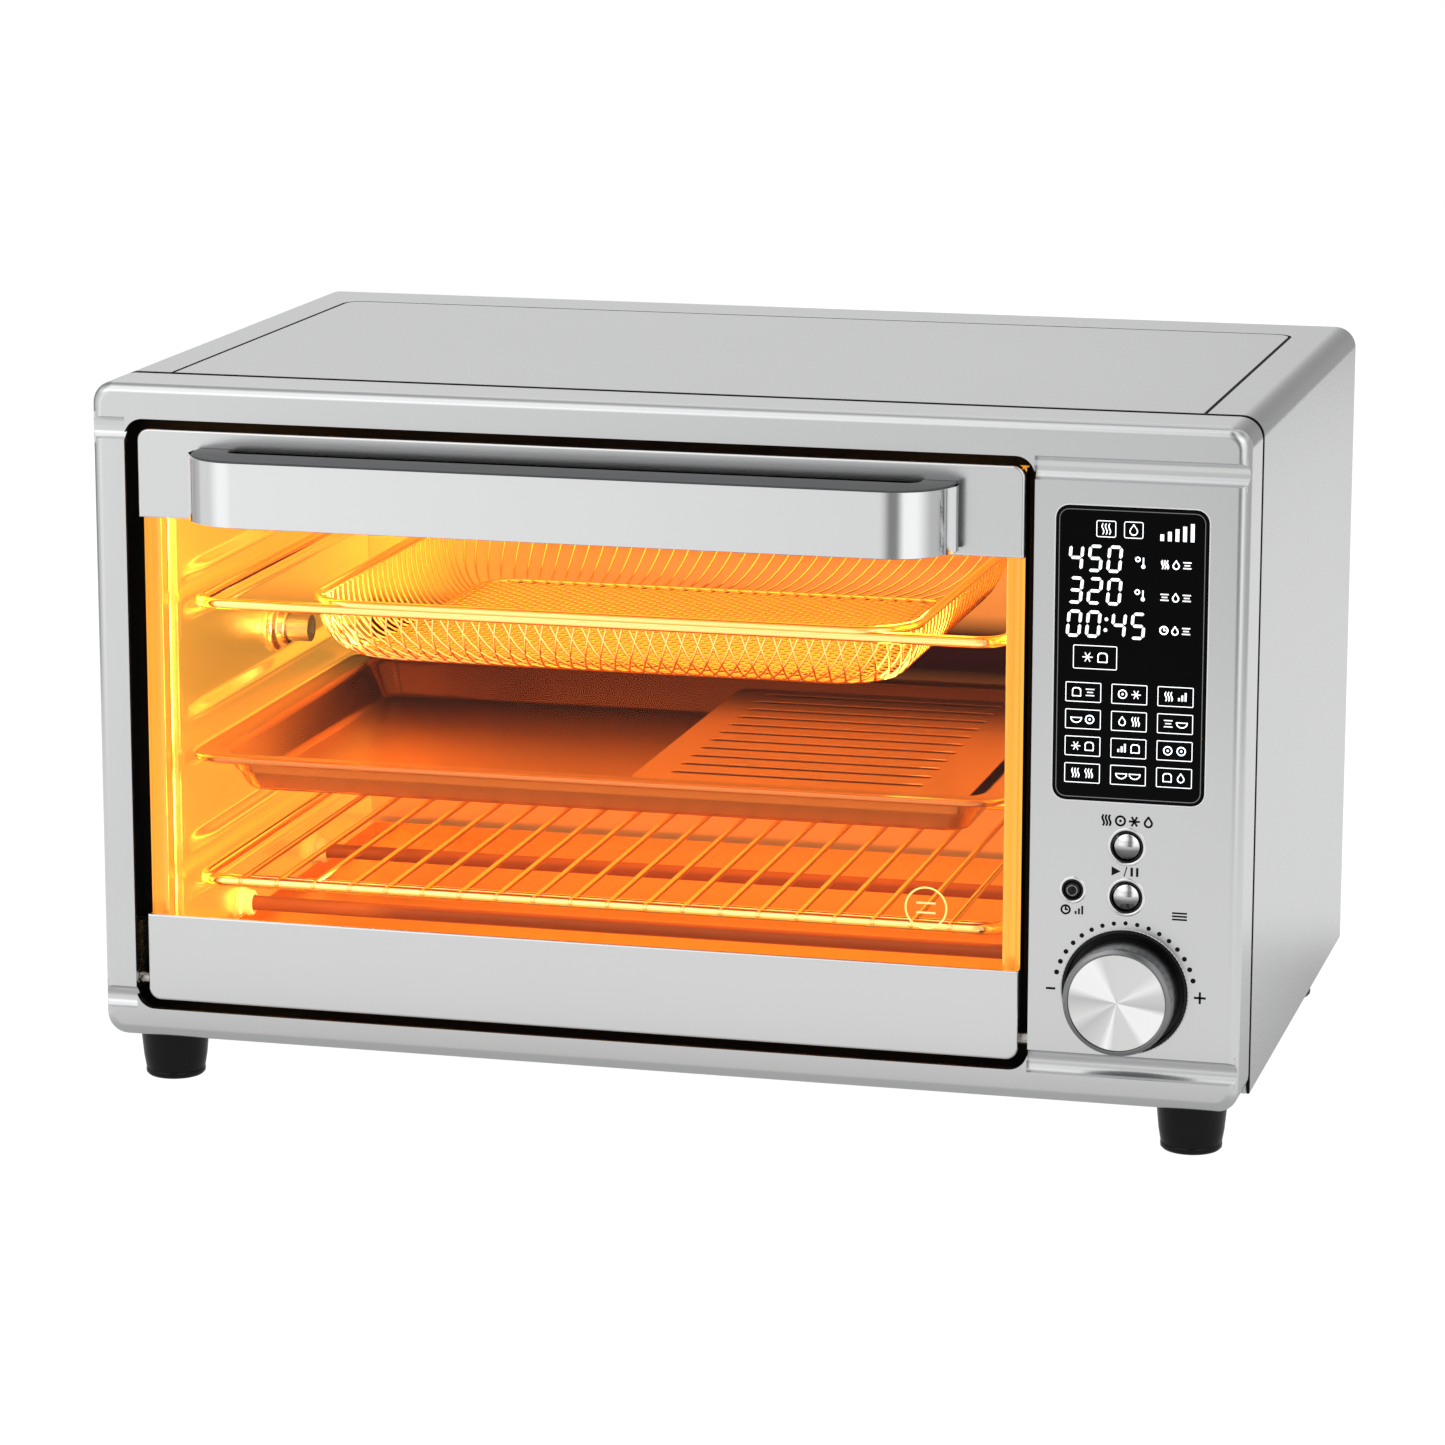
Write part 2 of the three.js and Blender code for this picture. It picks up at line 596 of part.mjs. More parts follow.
function rearCover() {
  const r = CASE_R - SHEET - FIT;
  const outline = roundRect(-INSIDE_X, INSIDE_X, SHEET + FIT, BODY_H - SHEET - FIT, r);
  let cover = frontPlate(outline, REAR_Y - FIT, BODY_D - FIT);
  const through = [REAR_Y - SHEET, BODY_D + SHEET];
  const behindPanel = [OPEN.x1 + VENT_FROM_PANEL, HALF_W - VENT_FROM_SIDE];
  for (let z = VENT_FROM_FLOOR; z <= BODY_H - VENT_FROM_TOP; z += VENT_PITCH) {
    cover = cover.subtract(box(...behindPanel, ...through, z, z + VENT_W));
  }
  const pitch = (CAVITY.x1 - CAVITY.x0) / VENT_COLUMNS;
  for (let i = 0; i < VENT_COLUMNS; i += 1) {
    const ventX = [CAVITY.x0 + (i + 0.15) * pitch, CAVITY.x0 + (i + 0.85) * pitch];
    for (const z of [CAVITY.z1 - 2 * VENT_PITCH, CAVITY.z1 - VENT_PITCH]) {
      cover = cover.subtract(box(...ventX, ...through, z, z + VENT_W));
    }
  }
  return cover.subtract(rodY(GLAND_X, GLAND_Z, GLAND_R + FIT, ...through));
}

function foot(x, y) {
  const profile = [
    [0, -FOOT_H],
    [FOOT_BOTTOM_R - FOOT_ROUND, -FOOT_H],
    [FOOT_BOTTOM_R, -FOOT_H + FOOT_ROUND],
    [FOOT_TOP_R, -FIT - FOOT_ROUND],
    [FOOT_TOP_R - FOOT_ROUND, -FIT],
    [0, -FIT],
  ];
  return solid(turned(profile, 2 * CIRCLE_SEGMENTS).rotateX(Math.PI / 2).translate(x, y, 0));
}

function cordGland() {
  const inner = REAR_Y - FIT;
  const outer = BODY_D - FIT;
  const profile = [
    [CORD_R, inner - GLAND_INSIDE],
    [GLAND_FLANGE_R, inner - GLAND_INSIDE],
    [GLAND_FLANGE_R, inner - FIT],
    [GLAND_R, inner - FIT],
    [GLAND_R, outer + FIT],
    [GLAND_FLANGE_R, outer + FIT],
    [GLAND_R, REAR_REACH],
    [CORD_R, REAR_REACH],
    [CORD_R, inner - GLAND_INSIDE],
  ];
  return turnedY(profile, GLAND_X, GLAND_Z);
}

add('front_fascia', frontFascia(), STEEL);
add('outer_wrap', outerWrap(), CASE_STEEL);
add('base_pan', basePan(), CASE_STEEL);
add('rear_cover', rearCover(), CASE_STEEL);
add('cord_gland', cordGland(), BLACK_PLASTIC);
for (const [side, x] of [['left', -HALF_W + FOOT_INSET_X], ['right', HALF_W - FOOT_INSET_X]]) {
  add(`foot_front_${side}`, foot(x, FOOT_INSET_Y), BLACK_PLASTIC);
  add(`foot_rear_${side}`, foot(x, BODY_D - FOOT_INSET_Y), BLACK_PLASTIC);
}

// ---------------------------------------------------------------- oven cavity
function frontFrame() {
  const edge = FASCIA_WALL + FIT;
  const x = [-HALF_W + edge, OPEN.x1 + FRAME_PAST_OPENING];
  const outline = roundRect(...x, edge, BODY_H - edge, CASE_R - edge);
  outline.holes.push(
    polygon([
      [CAVITY.x0, CAVITY.z0],
      [CAVITY.x0, CAVITY.z1],
      [CAVITY.x1, CAVITY.z1],
      [CAVITY.x1, CAVITY.z0],
    ]),
  );
  return frontPlate(outline, FRAME_Y, FRAME_Y + FRAME_SHEET);
}

// Heights of the pressed rails: one under each level and one above it
const RAIL_TOPS = [
  LEVEL.rack - WIRE / 2 - FIT,
  LEVEL.tray - TRAY_SHEET - FIT,
  LEVEL.basket - WIRE / 2 - FIT,
];
const RAIL_BASES = [
  LEVEL.rack + GROOVE_ABOVE + WIRE / 2,
  LEVEL.tray + GROOVE_ABOVE_TRAY,
  LEVEL.basket + GROOVE_ABOVE,
];

function railProfile(z0, z1, wallX, inward) {
  const tip = wallX + inward * RAIL_DEPTH;
  const back = wallX - (inward * CAVITY_SHEET) / 2;
  return [
    [back, z0 - RAIL_SLANT],
    [tip, z0],
    [tip, z1],
    [back, z1],
  ];
}

function sideWall(wallX, inward) {
  const outer = wallX - inward * CAVITY_SHEET;
  const [x0, x1] = [Math.min(wallX, outer), Math.max(wallX, outer)];
  let wall = box(x0, x1, CAVITY.y0, CAVITY.y1, CAVITY.z0, CAVITY.z1);
  const bands = [
    ...RAIL_TOPS.map((z) => [z - RAIL_H, z]),
    ...RAIL_BASES.map((z) => [z, z + RAIL_H]),
  ];
  for (const [z0, z1] of bands) {
    const shape = polygon(railProfile(z0, z1, wallX, inward));
    wall = wall.add(frontPlate(shape, CAVITY.y0 + RAIL_END, CAVITY.y1 - RAIL_END));
  }
  const beyond = [wallX - 3 * RAIL_DEPTH, wallX + 3 * RAIL_DEPTH];
  for (const y of HEATER_YS) {
    for (const z of HEATER_ZS) {
      wall = wall.subtract(rodX(y, z, HEATER_R + FIT, ...beyond, CIRCLE_SEGMENTS));
    }
  }
  return wall;
}

const SPIT_BARREL_R = SPIT_SHAFT_R + SPIT_BARREL_WALL; // socket barrel through the left wall

function leftWall() {
  const [y, z] = [CAVITY_MID.y, SPIT_Z];
  const inside = CAVITY.x0 + 2 * RAIL_DEPTH;
  const hole = rodX(y, z, SPIT_BARREL_R + FIT, CAVITY.x0 - 2 * CAVITY_SHEET, inside);
  const seat = rodX(y, z, SPIT_SOCKET_R + SPIT_SEAT_CLEAR, CAVITY.x0, inside);
  return cut(sideWall(CAVITY.x0, 1), hole, seat);
}

function rightWall() {
  let wall = sideWall(CAVITY.x1, -1);
  const beyond = [CAVITY.x1 - 2 * RAIL_DEPTH, CAVITY.x1 + 2 * RAIL_DEPTH];
  for (const level of [0, 1]) {
    const z0 = RAIL_BASES[level] + RAIL_H + FAN_SLOT_CLEAR;
    const z1 = RAIL_TOPS[level + 1] - RAIL_H - RAIL_SLANT - FAN_SLOT_CLEAR;
    for (let i = 0; i < FAN_SLOTS; i += 1) {
      const y = FAN_Y + (i - (FAN_SLOTS - 1) / 2) * FAN_SLOT_PITCH;
      const half = FAN_SLOT_W / 2;
      wall = wall.subtract(box(...beyond, y - half, y + half, z0, z1));
    }
  }
  const sensor = rodX(SENSOR_Y, SENSOR_Z, SENSOR_R + FIT, ...beyond, CIRCLE_SEGMENTS);
  const [y, z] = [CAVITY_MID.y, SPIT_Z];
  const stud = rodX(y, z, SUPPORT_STUD_R + FIT, ...beyond, CIRCLE_SEGMENTS);
  const [w, h] = [SUPPORT_W / 2 + SPIT_SEAT_CLEAR, SUPPORT_H / 2 + SPIT_SEAT_CLEAR];
  const seat = box(beyond[0], CAVITY.x1, y - w, y + w, z - h, z + h);
  return cut(wall, sensor, stud, seat);
}

add('front_frame', frontFrame(), BLACK_ENAMEL);
add('cavity_left_wall', leftWall(), CAVITY_STEEL);
add('cavity_right_wall', rightWall(), CAVITY_STEEL);

const ceiling = [CAVITY.z1 + FIT, CAVITY.z1 + FIT + CAVITY_SHEET];
const floor = [CAVITY.z0 - FIT - CAVITY_SHEET, CAVITY.z0 - FIT];
const back = [CAVITY.y1 + FIT, CAVITY.y1 + FIT + CAVITY_SHEET];
add('cavity_ceiling', box(LINER.x0, LINER.x1, CAVITY.y0, CAVITY.y1, ...ceiling), CAVITY_STEEL);
add('cavity_floor', box(LINER.x0, LINER.x1, CAVITY.y0, CAVITY.y1, ...floor), CAVITY_STEEL);
add('cavity_back', box(LINER.x0, LINER.x1, ...back, floor[0], ceiling[1]), CAVITY_STEEL);

for (const [row, z] of [['lower', HEATER_ZS[0]], ['upper', HEATER_ZS[1]]]) {
  for (const [place, y] of [['front', HEATER_YS[0]], ['rear', HEATER_YS[1]]]) {
    const ends = [LINER.x0 - HEATER_OUT, LINER.x1 + HEATER_OUT];
    add(`heater_${row}_${place}`, rodX(y, z, HEATER_R, ...ends, 10), HEATER_METAL);
  }
}

function temperatureSensor() {
  const x = LINER.x1;
  const stem = rodX(SENSOR_Y, SENSOR_Z, SENSOR_R, x - SENSOR_REACH, x + SENSOR_TAIL, 8);
  const nut = rodX(SENSOR_Y, SENSOR_Z, 2.5 * SENSOR_R, x + FIT, x + SENSOR_NUT_T, 6);
  return stem.add(nut);
}

add('temperature_sensor', temperatureSensor(), HARDWARE);

// ---------------------------------------------------------------- rotisserie drive and fan
function spitSocket() {
  const wall = CAVITY.x0;
  const outer = wall - CAVITY_SHEET;
  const bore = SPIT_SHAFT_R + FIT;
  const profile = [
    [bore, outer],
    [SPIT_BARREL_R, outer],
    [SPIT_BARREL_R, wall + FIT],
    [SPIT_SOCKET_R, wall + FIT],
    [SPIT_SOCKET_R - 1, wall + SPIT_SOCKET_OUT * 0.5],
    [SPIT_BARREL_R, wall + SPIT_SOCKET_OUT],
    [bore, wall + SPIT_SOCKET_OUT],
    [bore, outer],
  ];
  return turnedX(profile, CAVITY_MID.y, SPIT_Z);
}

const SPIT_DRIVE_X = CAVITY.x0 - CAVITY_SHEET - FIT;

function spitShaft() {
  const tip = CAVITY.x0 + SPIT_SHAFT_OUT;
  const shaft = rodX(CAVITY_MID.y, SPIT_Z, SPIT_SHAFT_R, SPIT_DRIVE_X + FIT, tip);
  const half = SPIT_SQUARE / 2;
  const [y, z] = [CAVITY_MID.y, SPIT_Z];
  const socketX = [tip - SPIT_SQUARE_DEPTH, tip + FIT];
  return shaft.subtract(box(...socketX, y - half, y + half, z - half, z + half));
}

function spitMotor() {
  const x1 = SPIT_DRIVE_X;
  return rodX(CAVITY_MID.y, SPIT_Z, SPIT_MOTOR_R, x1 - SPIT_MOTOR_T, x1);
}

function spitSupport() {
  const x = CAVITY.x1 - FIT;
  const [y, z] = [CAVITY_MID.y, SPIT_Z];
  const [w, h] = [SUPPORT_W / 2, SUPPORT_H / 2];
  const plate = box(x - SUPPORT_T, x, y - w, y + w, z - h, z + h);
  const cradle = box(x - SUPPORT_OUT, x, y - w, y + w, z - h + 2, z - 2);
  const notchX = [x - SUPPORT_OUT - 1, x - SUPPORT_T];
  const notch = rodX(y, z + 1, SUPPORT_NOTCH_R, ...notchX, CIRCLE_SEGMENTS);
  const stud = rodX(y, z, SUPPORT_STUD_R, x - 1, LINER.x1, CIRCLE_SEGMENTS);
  return joined(plate, cradle).subtract(notch).add(stud);
}

add('spit_socket', spitSocket(), HARDWARE);
add('spit_drive_shaft', spitShaft(), HARDWARE);
add('spit_motor', spitMotor(), MOTOR_STEEL);
add('spit_support', spitSupport(), HARDWARE);

const FAN_X = LINER.x1 + FIT; // open face of the fan housing, against the right wall
const FAN_Z = (RAIL_BASES[1] + RAIL_H / 2 + RAIL_TOPS[1]) / 2;
const HOUSING_R = FAN_R + HOUSING_CLEAR;
const HOUSING_BACK = FAN_X + FAN_HOUSING_DEPTH;
const BLADE_BACK = HOUSING_BACK - HOUSING_CLEAR;
const HUB_FRONT = BLADE_BACK - FAN_HUB_T;

function fanHousing() {
  const t = HOUSING_SHEET;
  const hole = FAN_SHAFT_R + 2 * HOUSING_SHEET;
  const profile = [
    [HOUSING_R - t, FAN_X],
    [HOUSING_R + HOUSING_FLANGE, FAN_X],
    [HOUSING_R + HOUSING_FLANGE, FAN_X + t],
    [HOUSING_R, FAN_X + t],
    [HOUSING_R, HOUSING_BACK],
    [hole, HOUSING_BACK],
    [hole, HOUSING_BACK - t],
    [HOUSING_R - t, HOUSING_BACK - t],
    [HOUSING_R - t, FAN_X],
  ];
  return turnedX(profile, FAN_Y, FAN_Z);
}

function fanBlade() {
  let fan = rodX(FAN_Y, FAN_Z, FAN_R * 0.62, BLADE_BACK - FAN_SHEET, BLADE_BACK);
  fan = fan.add(rodX(FAN_Y, FAN_Z, FAN_HUB_R, HUB_FRONT, BLADE_BACK));
  const root = FAN_HUB_R - 1;
  for (let i = 0; i < FAN_BLADES; i += 1) {
    const blade = new THREE.BoxGeometry(FAN_BLADE_W, FAN_SHEET, FAN_R - root);
    blade.translate(0, 0, (FAN_R + root) / 2);
    blade.rotateX((i * 2 * Math.PI) / FAN_BLADES);
    fan = fan.add(solid(blade.translate(BLADE_BACK - FAN_BLADE_W / 2, FAN_Y, FAN_Z)));
  }
  return fan.subtract(rodX(FAN_Y, FAN_Z, FAN_SHAFT_R + FIT, HUB_FRONT - 1, BLADE_BACK + 1));
}

const FAN_SHAFT_IN_MOTOR = 14;
const FAN_MOTOR_NOSE = 5;

function fanShaft() {
  const rodEnds = [HUB_FRONT - 2, HOUSING_BACK + FAN_SHAFT_IN_MOTOR];
  const rod = rodX(FAN_Y, FAN_Z, FAN_SHAFT_R, ...rodEnds);
  const nut = rodX(FAN_Y, FAN_Z, 2 * FAN_SHAFT_R, HUB_FRONT - 2.5, HUB_FRONT - FIT, 6);
  return rod.add(nut);
}

function fanMotor() {
  const x = HOUSING_BACK + FIT;
  const bore = FAN_SHAFT_R + FIT;
  const front = x + FAN_MOTOR_NOSE;
  const boreEnd = x + FAN_SHAFT_IN_MOTOR + 2;
  const profile = [
    [bore, x],
    [FAN_HUB_R, x],
    [FAN_HUB_R, front],
    [FAN_MOTOR_R, front],
    [FAN_MOTOR_R, front + FAN_MOTOR_L],
    [0, front + FAN_MOTOR_L],
    [0, boreEnd],
    [bore, boreEnd],
    [bore, x],
  ];
  return turnedX(profile, FAN_Y, FAN_Z);
}

add('fan_housing', fanHousing(), MOTOR_STEEL);
add('fan_blade', fanBlade(), FAN_ALUMINIUM);
add('fan_shaft', fanShaft(), HARDWARE);
add('fan_motor', fanMotor(), MOTOR_STEEL);

// ---------------------------------------------------------------- racks, trays and basket
function lowerRack() {
  const z = LEVEL.rack;
  let rack = wireLoop(RACK.x0, RACK.x1, RACK_FRONT, SLIDE_REAR, RACK_R, z, WIRE);
  const count = Math.floor((RACK.x1 - RACK.x0 - 2 * CROSS_MARGIN) / CROSS_PITCH) + 1;
  const first = (RACK.x0 + RACK.x1 - (count - 1) * CROSS_PITCH) / 2;
  const ends = [RACK_FRONT + WIRE / 3, SLIDE_REAR - WIRE / 3];
  for (let i = 0; i < count; i += 1) {
    const x = first + i * CROSS_PITCH;
    rack = rack.add(rodY(x, z + CROSS_ABOVE, CROSS_WIRE / 2, ...ends, 6));
  }
  return rack;
}

function basketFrame() {
  return wireLoop(RACK.x0, RACK.x1, RACK_FRONT, SLIDE_REAR, RACK_R, LEVEL.basket, WIRE);
}

const BASKET = {
  x0: RACK.x0 + BASKET_SIDE_L,
  x1: RACK.x1 - BASKET_SIDE_R,
  y0: RACK_FRONT,
  y1: SLIDE_REAR,
  rim: LEVEL.basket + WIRE / 2 + FIT,
};

function fryBasket() {
  const { x0, x1, y0, y1, rim } = BASKET;
  const inset = WIRE + 2 * FIT + BASKET_FLARE;
  const side = BASKET_RIM + BASKET_FLARE;
  const base = [x0 + side, x1 - side, y0 + inset, y1 - inset];
  const floorZ = rim + BASKET_SHEET - BASKET_DEPTH;
  const outer = flaredSlab(...base, BASKET_R, floorZ, rim + BASKET_SHEET, BASKET_FLARE);
  const t = BASKET_SHEET;
  const hollow = [base[0] + t, base[1] - t, base[2] + t, base[3] - t];
  const inner = flaredSlab(
    ...hollow,
    BASKET_R - t,
    floorZ + t,
    rim + 3 * BASKET_SHEET,
    BASKET_FLARE * (1 + (2 * t) / BASKET_DEPTH),
  );
  const lip = flatPlate(roundRect(x0, x1, y0, y1, BASKET_R), rim, rim + BASKET_SHEET);
  return outer.add(lip).subtract(inner);
}

const TRAY = {
  x0: RACK.x0,
  x1: RACK.x1,
  y0: TRAY_FRONT,
  y1: SLIDE_REAR,
  rim: LEVEL.tray,
  floor: LEVEL.tray - TRAY_DEPTH,
};
const TRAY_BASE = {
  x0: TRAY.x0 + TRAY_RIM + TRAY_FLARE,
  x1: TRAY.x1 - TRAY_RIM - TRAY_FLARE,
  y0: TRAY.y0 + TRAY_RIM + TRAY_FLARE,
  y1: TRAY.y1 - TRAY_RIM - TRAY_FLARE,
};

function bakingTray() {
  const { x0, x1, y0, y1 } = TRAY_BASE;
  const t = TRAY_SHEET;
  const outer = flaredSlab(x0, x1, y0, y1, TRAY_R, TRAY.floor, TRAY.rim, TRAY_FLARE);
  const inner = flaredSlab(
    x0 + t,
    x1 - t,
    y0 + t,
    y1 - t,
    TRAY_R - t,
    TRAY.floor + t,
    TRAY.rim + t,
    TRAY_FLARE,
  );
  const lip = roundRect(TRAY.x0, TRAY.x1, TRAY.y0, TRAY.y1, TRAY_R);
  return outer.add(flatPlate(lip, TRAY.rim - t, TRAY.rim)).subtract(inner);
}

function grillPlate() {
  const top = TRAY.rim - GRILL_DROP;
  const t = TRAY_SHEET;
  const x1 = TRAY_BASE.x1;
  const x0 = x1 - GRILL_SHARE * (TRAY_BASE.x1 - TRAY_BASE.x0);
  const y0 = TRAY_BASE.y0 + GRILL_CLEAR;
  const y1 = TRAY_BASE.y1 - GRILL_CLEAR;
  let plate = box(x0, x1, y0, y1, top - t, top);
  const floorZ = TRAY.floor + t + FIT;
  plate = joined(
    plate,
    box(x0, x0 + t, y0, y1, floorZ, top),
    box(x1 - TRAY_R, x1 - TRAY_R + t, y0 + TRAY_R, y1 - TRAY_R, floorZ, top),
  );
  const half = GRILL_SLOT_W / 2;
  const slotX = [x0 + GRILL_EDGE_LEFT, x1 - TRAY_R - GRILL_EDGE_RIGHT];
  for (let y = y0 + GRILL_SLOT_PITCH; y < y1 - GRILL_EDGE_RIGHT; y += GRILL_SLOT_PITCH) {
    plate = plate.subtract(box(...slotX, y - half, y + half, top - 2 * t, top + t));
  }
  return plate;
}

function crumbTray() {
  const z0 = CAVITY.z0 + FIT;
  const t = CRUMB_SHEET;
  const [y0, y1] = [CRUMB_FRONT, CAVITY.y1 - CRUMB_REAR_CLEAR];
  const outer = box(RACK.x0, RACK.x1, y0, y1, z0, z0 + CRUMB_H);
  return outer.subtract(
    box(RACK.x0 + t, RACK.x1 - t, y0 + t, y1 - t, z0 + t, z0 + 2 * CRUMB_H),
  );
}

add('lower_rack', lowerRack(), WIRE_CHROME);
add('basket_frame', basketFrame(), WIRE_CHROME);
add('fry_basket', fryBasket(), WIRE_CHROME);
add('baking_tray', bakingTray(), TRAY_COATING);
add('grill_plate', grillPlate(), TRAY_COATING);
add('crumb_tray', crumbTray(), CAVITY_STEEL);

// ---------------------------------------------------------------- door
// A steel band across the door: front skin, an edge return and two side returns
function doorBand(z0, z1, edgeZ, edgeDepth) {
  const t = DOOR_SHEET;
  const inner = edgeZ === z0 ? [z0 + t, z1 + t] : [z0 - t, z1 - t];
  const outline = roundRect(DOOR.x0, DOOR.x1, DOOR.z0, DOOR.z1, DOOR_R);
  const block = frontPlate(outline, 0, edgeDepth);
  const band = block.intersect(box(DOOR.x0, DOOR.x1, 0, edgeDepth, z0, z1));
  const room = box(DOOR.x0 + t, DOOR.x1 - t, t, edgeDepth + t, ...inner);
  return band.subtract(room);
}

function topBand() {
  const band = doorBand(DOOR.z1 - DOOR_BAND, DOOR.z1, DOOR.z1, BAND_DEPTH);
  const holes = HANDLE_FEET.map((x) =>
    rodY(x, HANDLE_MID_Z, HANDLE_SCREW_R + FIT, -1, DOOR_SHEET + 1, CIRCLE_SEGMENTS),
  );
  return cut(band, ...holes);
}

function doorGlass() {
  const edge = DOOR_SHEET + FIT;
  return box(DOOR.x0 + edge, DOOR.x1 - edge, GLASS_Y, GLASS_BACK, ...GLASS_Z);
}

// Side channel behind the glass, above the hinge arm
function doorStile(x0, x1) {
  const z0 = HINGE_ARM_TOP + FIT;
  const z1 = DOOR.z1 - DOOR_SHEET - FIT;
  const y0 = GLASS_BACK + FIT;
  const stile = box(x0, x1, y0, DOOR_DEPTH, z0, z1);
  const t = DOOR_SHEET;
  return stile.subtract(box(x0 + t, x1 - t, y0 - 1, DOOR_DEPTH - t, z0 - 1, z1 + 1));
}

const HINGE_SIDES = [
  { side: 'left', edge: DOOR.x0 + DOOR_SHEET + FIT, opening: OPEN.x0, out: -1 },
  { side: 'right', edge: DOOR.x1 - DOOR_SHEET - FIT, opening: OPEN.x1, out: 1 },
];

// Arm fixed to the door, with the pin that turns in the bracket
function hingeArm({ edge, opening, out }) {
  const inner = edge - out * HINGE_ARM_W;
  const [x0, x1] = [Math.min(edge, inner), Math.max(edge, inner)];
  const z0 = HINGE_Z - 2 * HINGE_PIN_R;
  const arm = box(x0, x1, GLASS_BACK + FIT, DOOR_DEPTH, z0, HINGE_ARM_TOP);
  const end = opening + out * PIN_END;
  const [p0, p1] = [Math.min(end, inner + out), Math.max(end, inner + out)];
  const pin = rodX(HINGE_Y, HINGE_Z, HINGE_PIN_R, p0, p1, CIRCLE_SEGMENTS);
  return arm.add(pin);
}

function hingeBracket({ opening, out }) {
  const a = opening + out * HINGE_SIDE_CLEAR;
  const b = a + out * BRACKET_T;
  const [x0, x1] = [Math.min(a, b), Math.max(a, b)];
  const y0 = FASCIA_WALL + 4 * FIT;
  const y1 = FRAME_Y - FIT;
  const top = HINGE_Z + BRACKET_ABOVE;
  const plate = box(x0, x1, y0, y1, HINGE_Z - BRACKET_BELOW, top);
  const tab0 = b - out;
  const tab1 = b + out * BRACKET_TAB;
  const [t0, t1] = [Math.min(tab0, tab1), Math.max(tab0, tab1)];
  const tab = box(t0, t1, y1 - FRAME_SHEET, y1, HINGE_Z + BRACKET_TAB_FROM, top);
  const bore = rodX(HINGE_Y, HINGE_Z, HINGE_PIN_R + PIN_FIT, x0 - 1, x1 + 1);
  return plate.add(tab).subtract(bore);
}

class Coil extends THREE.Curve {
  constructor(x0, pitch, radius, turns) {
    super();
    Object.assign(this, { x0, pitch, radius, turns });
  }

  getPoint(t, target = new THREE.Vector3()) {
    const angle = 2 * Math.PI * this.turns * t;
    const y = HINGE_Y + this.radius * Math.cos(angle);
    const z = HINGE_Z + this.radius * Math.sin(angle);
    return target.set(this.x0 + this.pitch * this.turns * t, y, z);
  }
}

// Torsion spring round the left pin, outside the bracket
function doorSpring() {
  const pitch = SPRING_WIRE * 1.5;
  const radius = HINGE_PIN_R + PIN_FIT + SPRING_WIRE / 2;
  const start = OPEN.x0 - HINGE_SIDE_CLEAR - BRACKET_T - FIT - SPRING_WIRE / 2;
  const path = new Coil(start, -pitch, radius, SPRING_TURNS);
  const section = new THREE.Shape().absarc(0, 0, SPRING_WIRE / 2, 0, 2 * Math.PI);
  return solid(
    new THREE.ExtrudeGeometry(section, {
      steps: 12 * SPRING_TURNS,
      curveSegments: 3,
      extrudePath: path,
    }),
  );
}

const bottomEdge = [DOOR.z0, DOOR.z0 + DOOR_BAND];
add('door_top_band', topBand(), STEEL);
add('door_bottom_band', doorBand(...bottomEdge, DOOR.z0, BAND_DEPTH), STEEL);
add('door_glass', doorGlass(), DOOR_GLASS);
add('door_left_stile', doorStile(DOOR.x0 + FIT, DOOR.x0 + FIT + STILE_W), STEEL);
add('door_right_stile', doorStile(DOOR.x1 - FIT - STILE_W, DOOR.x1 - FIT), STEEL);
for (const hinge of HINGE_SIDES) {
  add(`hinge_arm_${hinge.side}`, hingeArm(hinge), HARDWARE);
  add(`hinge_bracket_${hinge.side}`, hingeBracket(hinge), HARDWARE);
}
add('door_spring', doorSpring(), HARDWARE);

// ---------------------------------------------------------------- handle
// Plan of the handle: rounded front corners, straight ends running back towards the door
function handlePlan(inset, backY) {
  const [x0, x1] = [HANDLE.x0 + inset, HANDLE.x1 - inset];
  const front = -HANDLE_REACH + inset;
  const r = HANDLE_R - inset;
  const shape = new THREE.Shape();
  shape.moveTo(x1, backY);
  shape.lineTo(x0, backY);
  shape.absarc(x0 + r, front + r, r, Math.PI, 1.5 * Math.PI);
  shape.absarc(x1 - r, front + r, r, 1.5 * Math.PI, 2 * Math.PI);
  shape.closePath();
  return shape;
}

const HANDLE_ARC = 5;

function handleGrip() {
  const inset = HANDLE_STRIP + FIT;
  const block = flatPlate(handlePlan(inset, -FIT), HANDLE.z0, HANDLE.z1, HANDLE_ARC);
  const gapY = -HANDLE_REACH + HANDLE_BAR;
  const feet = [HANDLE.x0 + HANDLE_FOOT, HANDLE.x1 - HANDLE_FOOT];
  const gap = box(...feet, gapY, 1, HANDLE.z0 - 1, HANDLE.z1 + 1);
  const bores = HANDLE_FEET.map((x) =>
    rodY(x, HANDLE_MID_Z, HANDLE_SCREW_R + FIT, gapY - 2 * SCREW_BITE, 1, CIRCLE_SEGMENTS),
  );
  return cut(block, gap, ...bores);
}

function handleStrip() {
  const lip = 0.6; // grip shows above and below the strip
  const z = [HANDLE.z0 + lip, HANDLE.z1 - lip];
  const outer = flatPlate(handlePlan(0, -FIT), ...z, HANDLE_ARC);
  const room = flatPlate(handlePlan(HANDLE_STRIP, 1), z[0] - 1, z[1] + 1, HANDLE_ARC);
  const front = [-HANDLE_REACH - 1, -HANDLE_REACH + HANDLE_BAR];
  return outer.subtract(room).intersect(box(DOOR.x0, DOOR.x1, ...front, ...z));
}

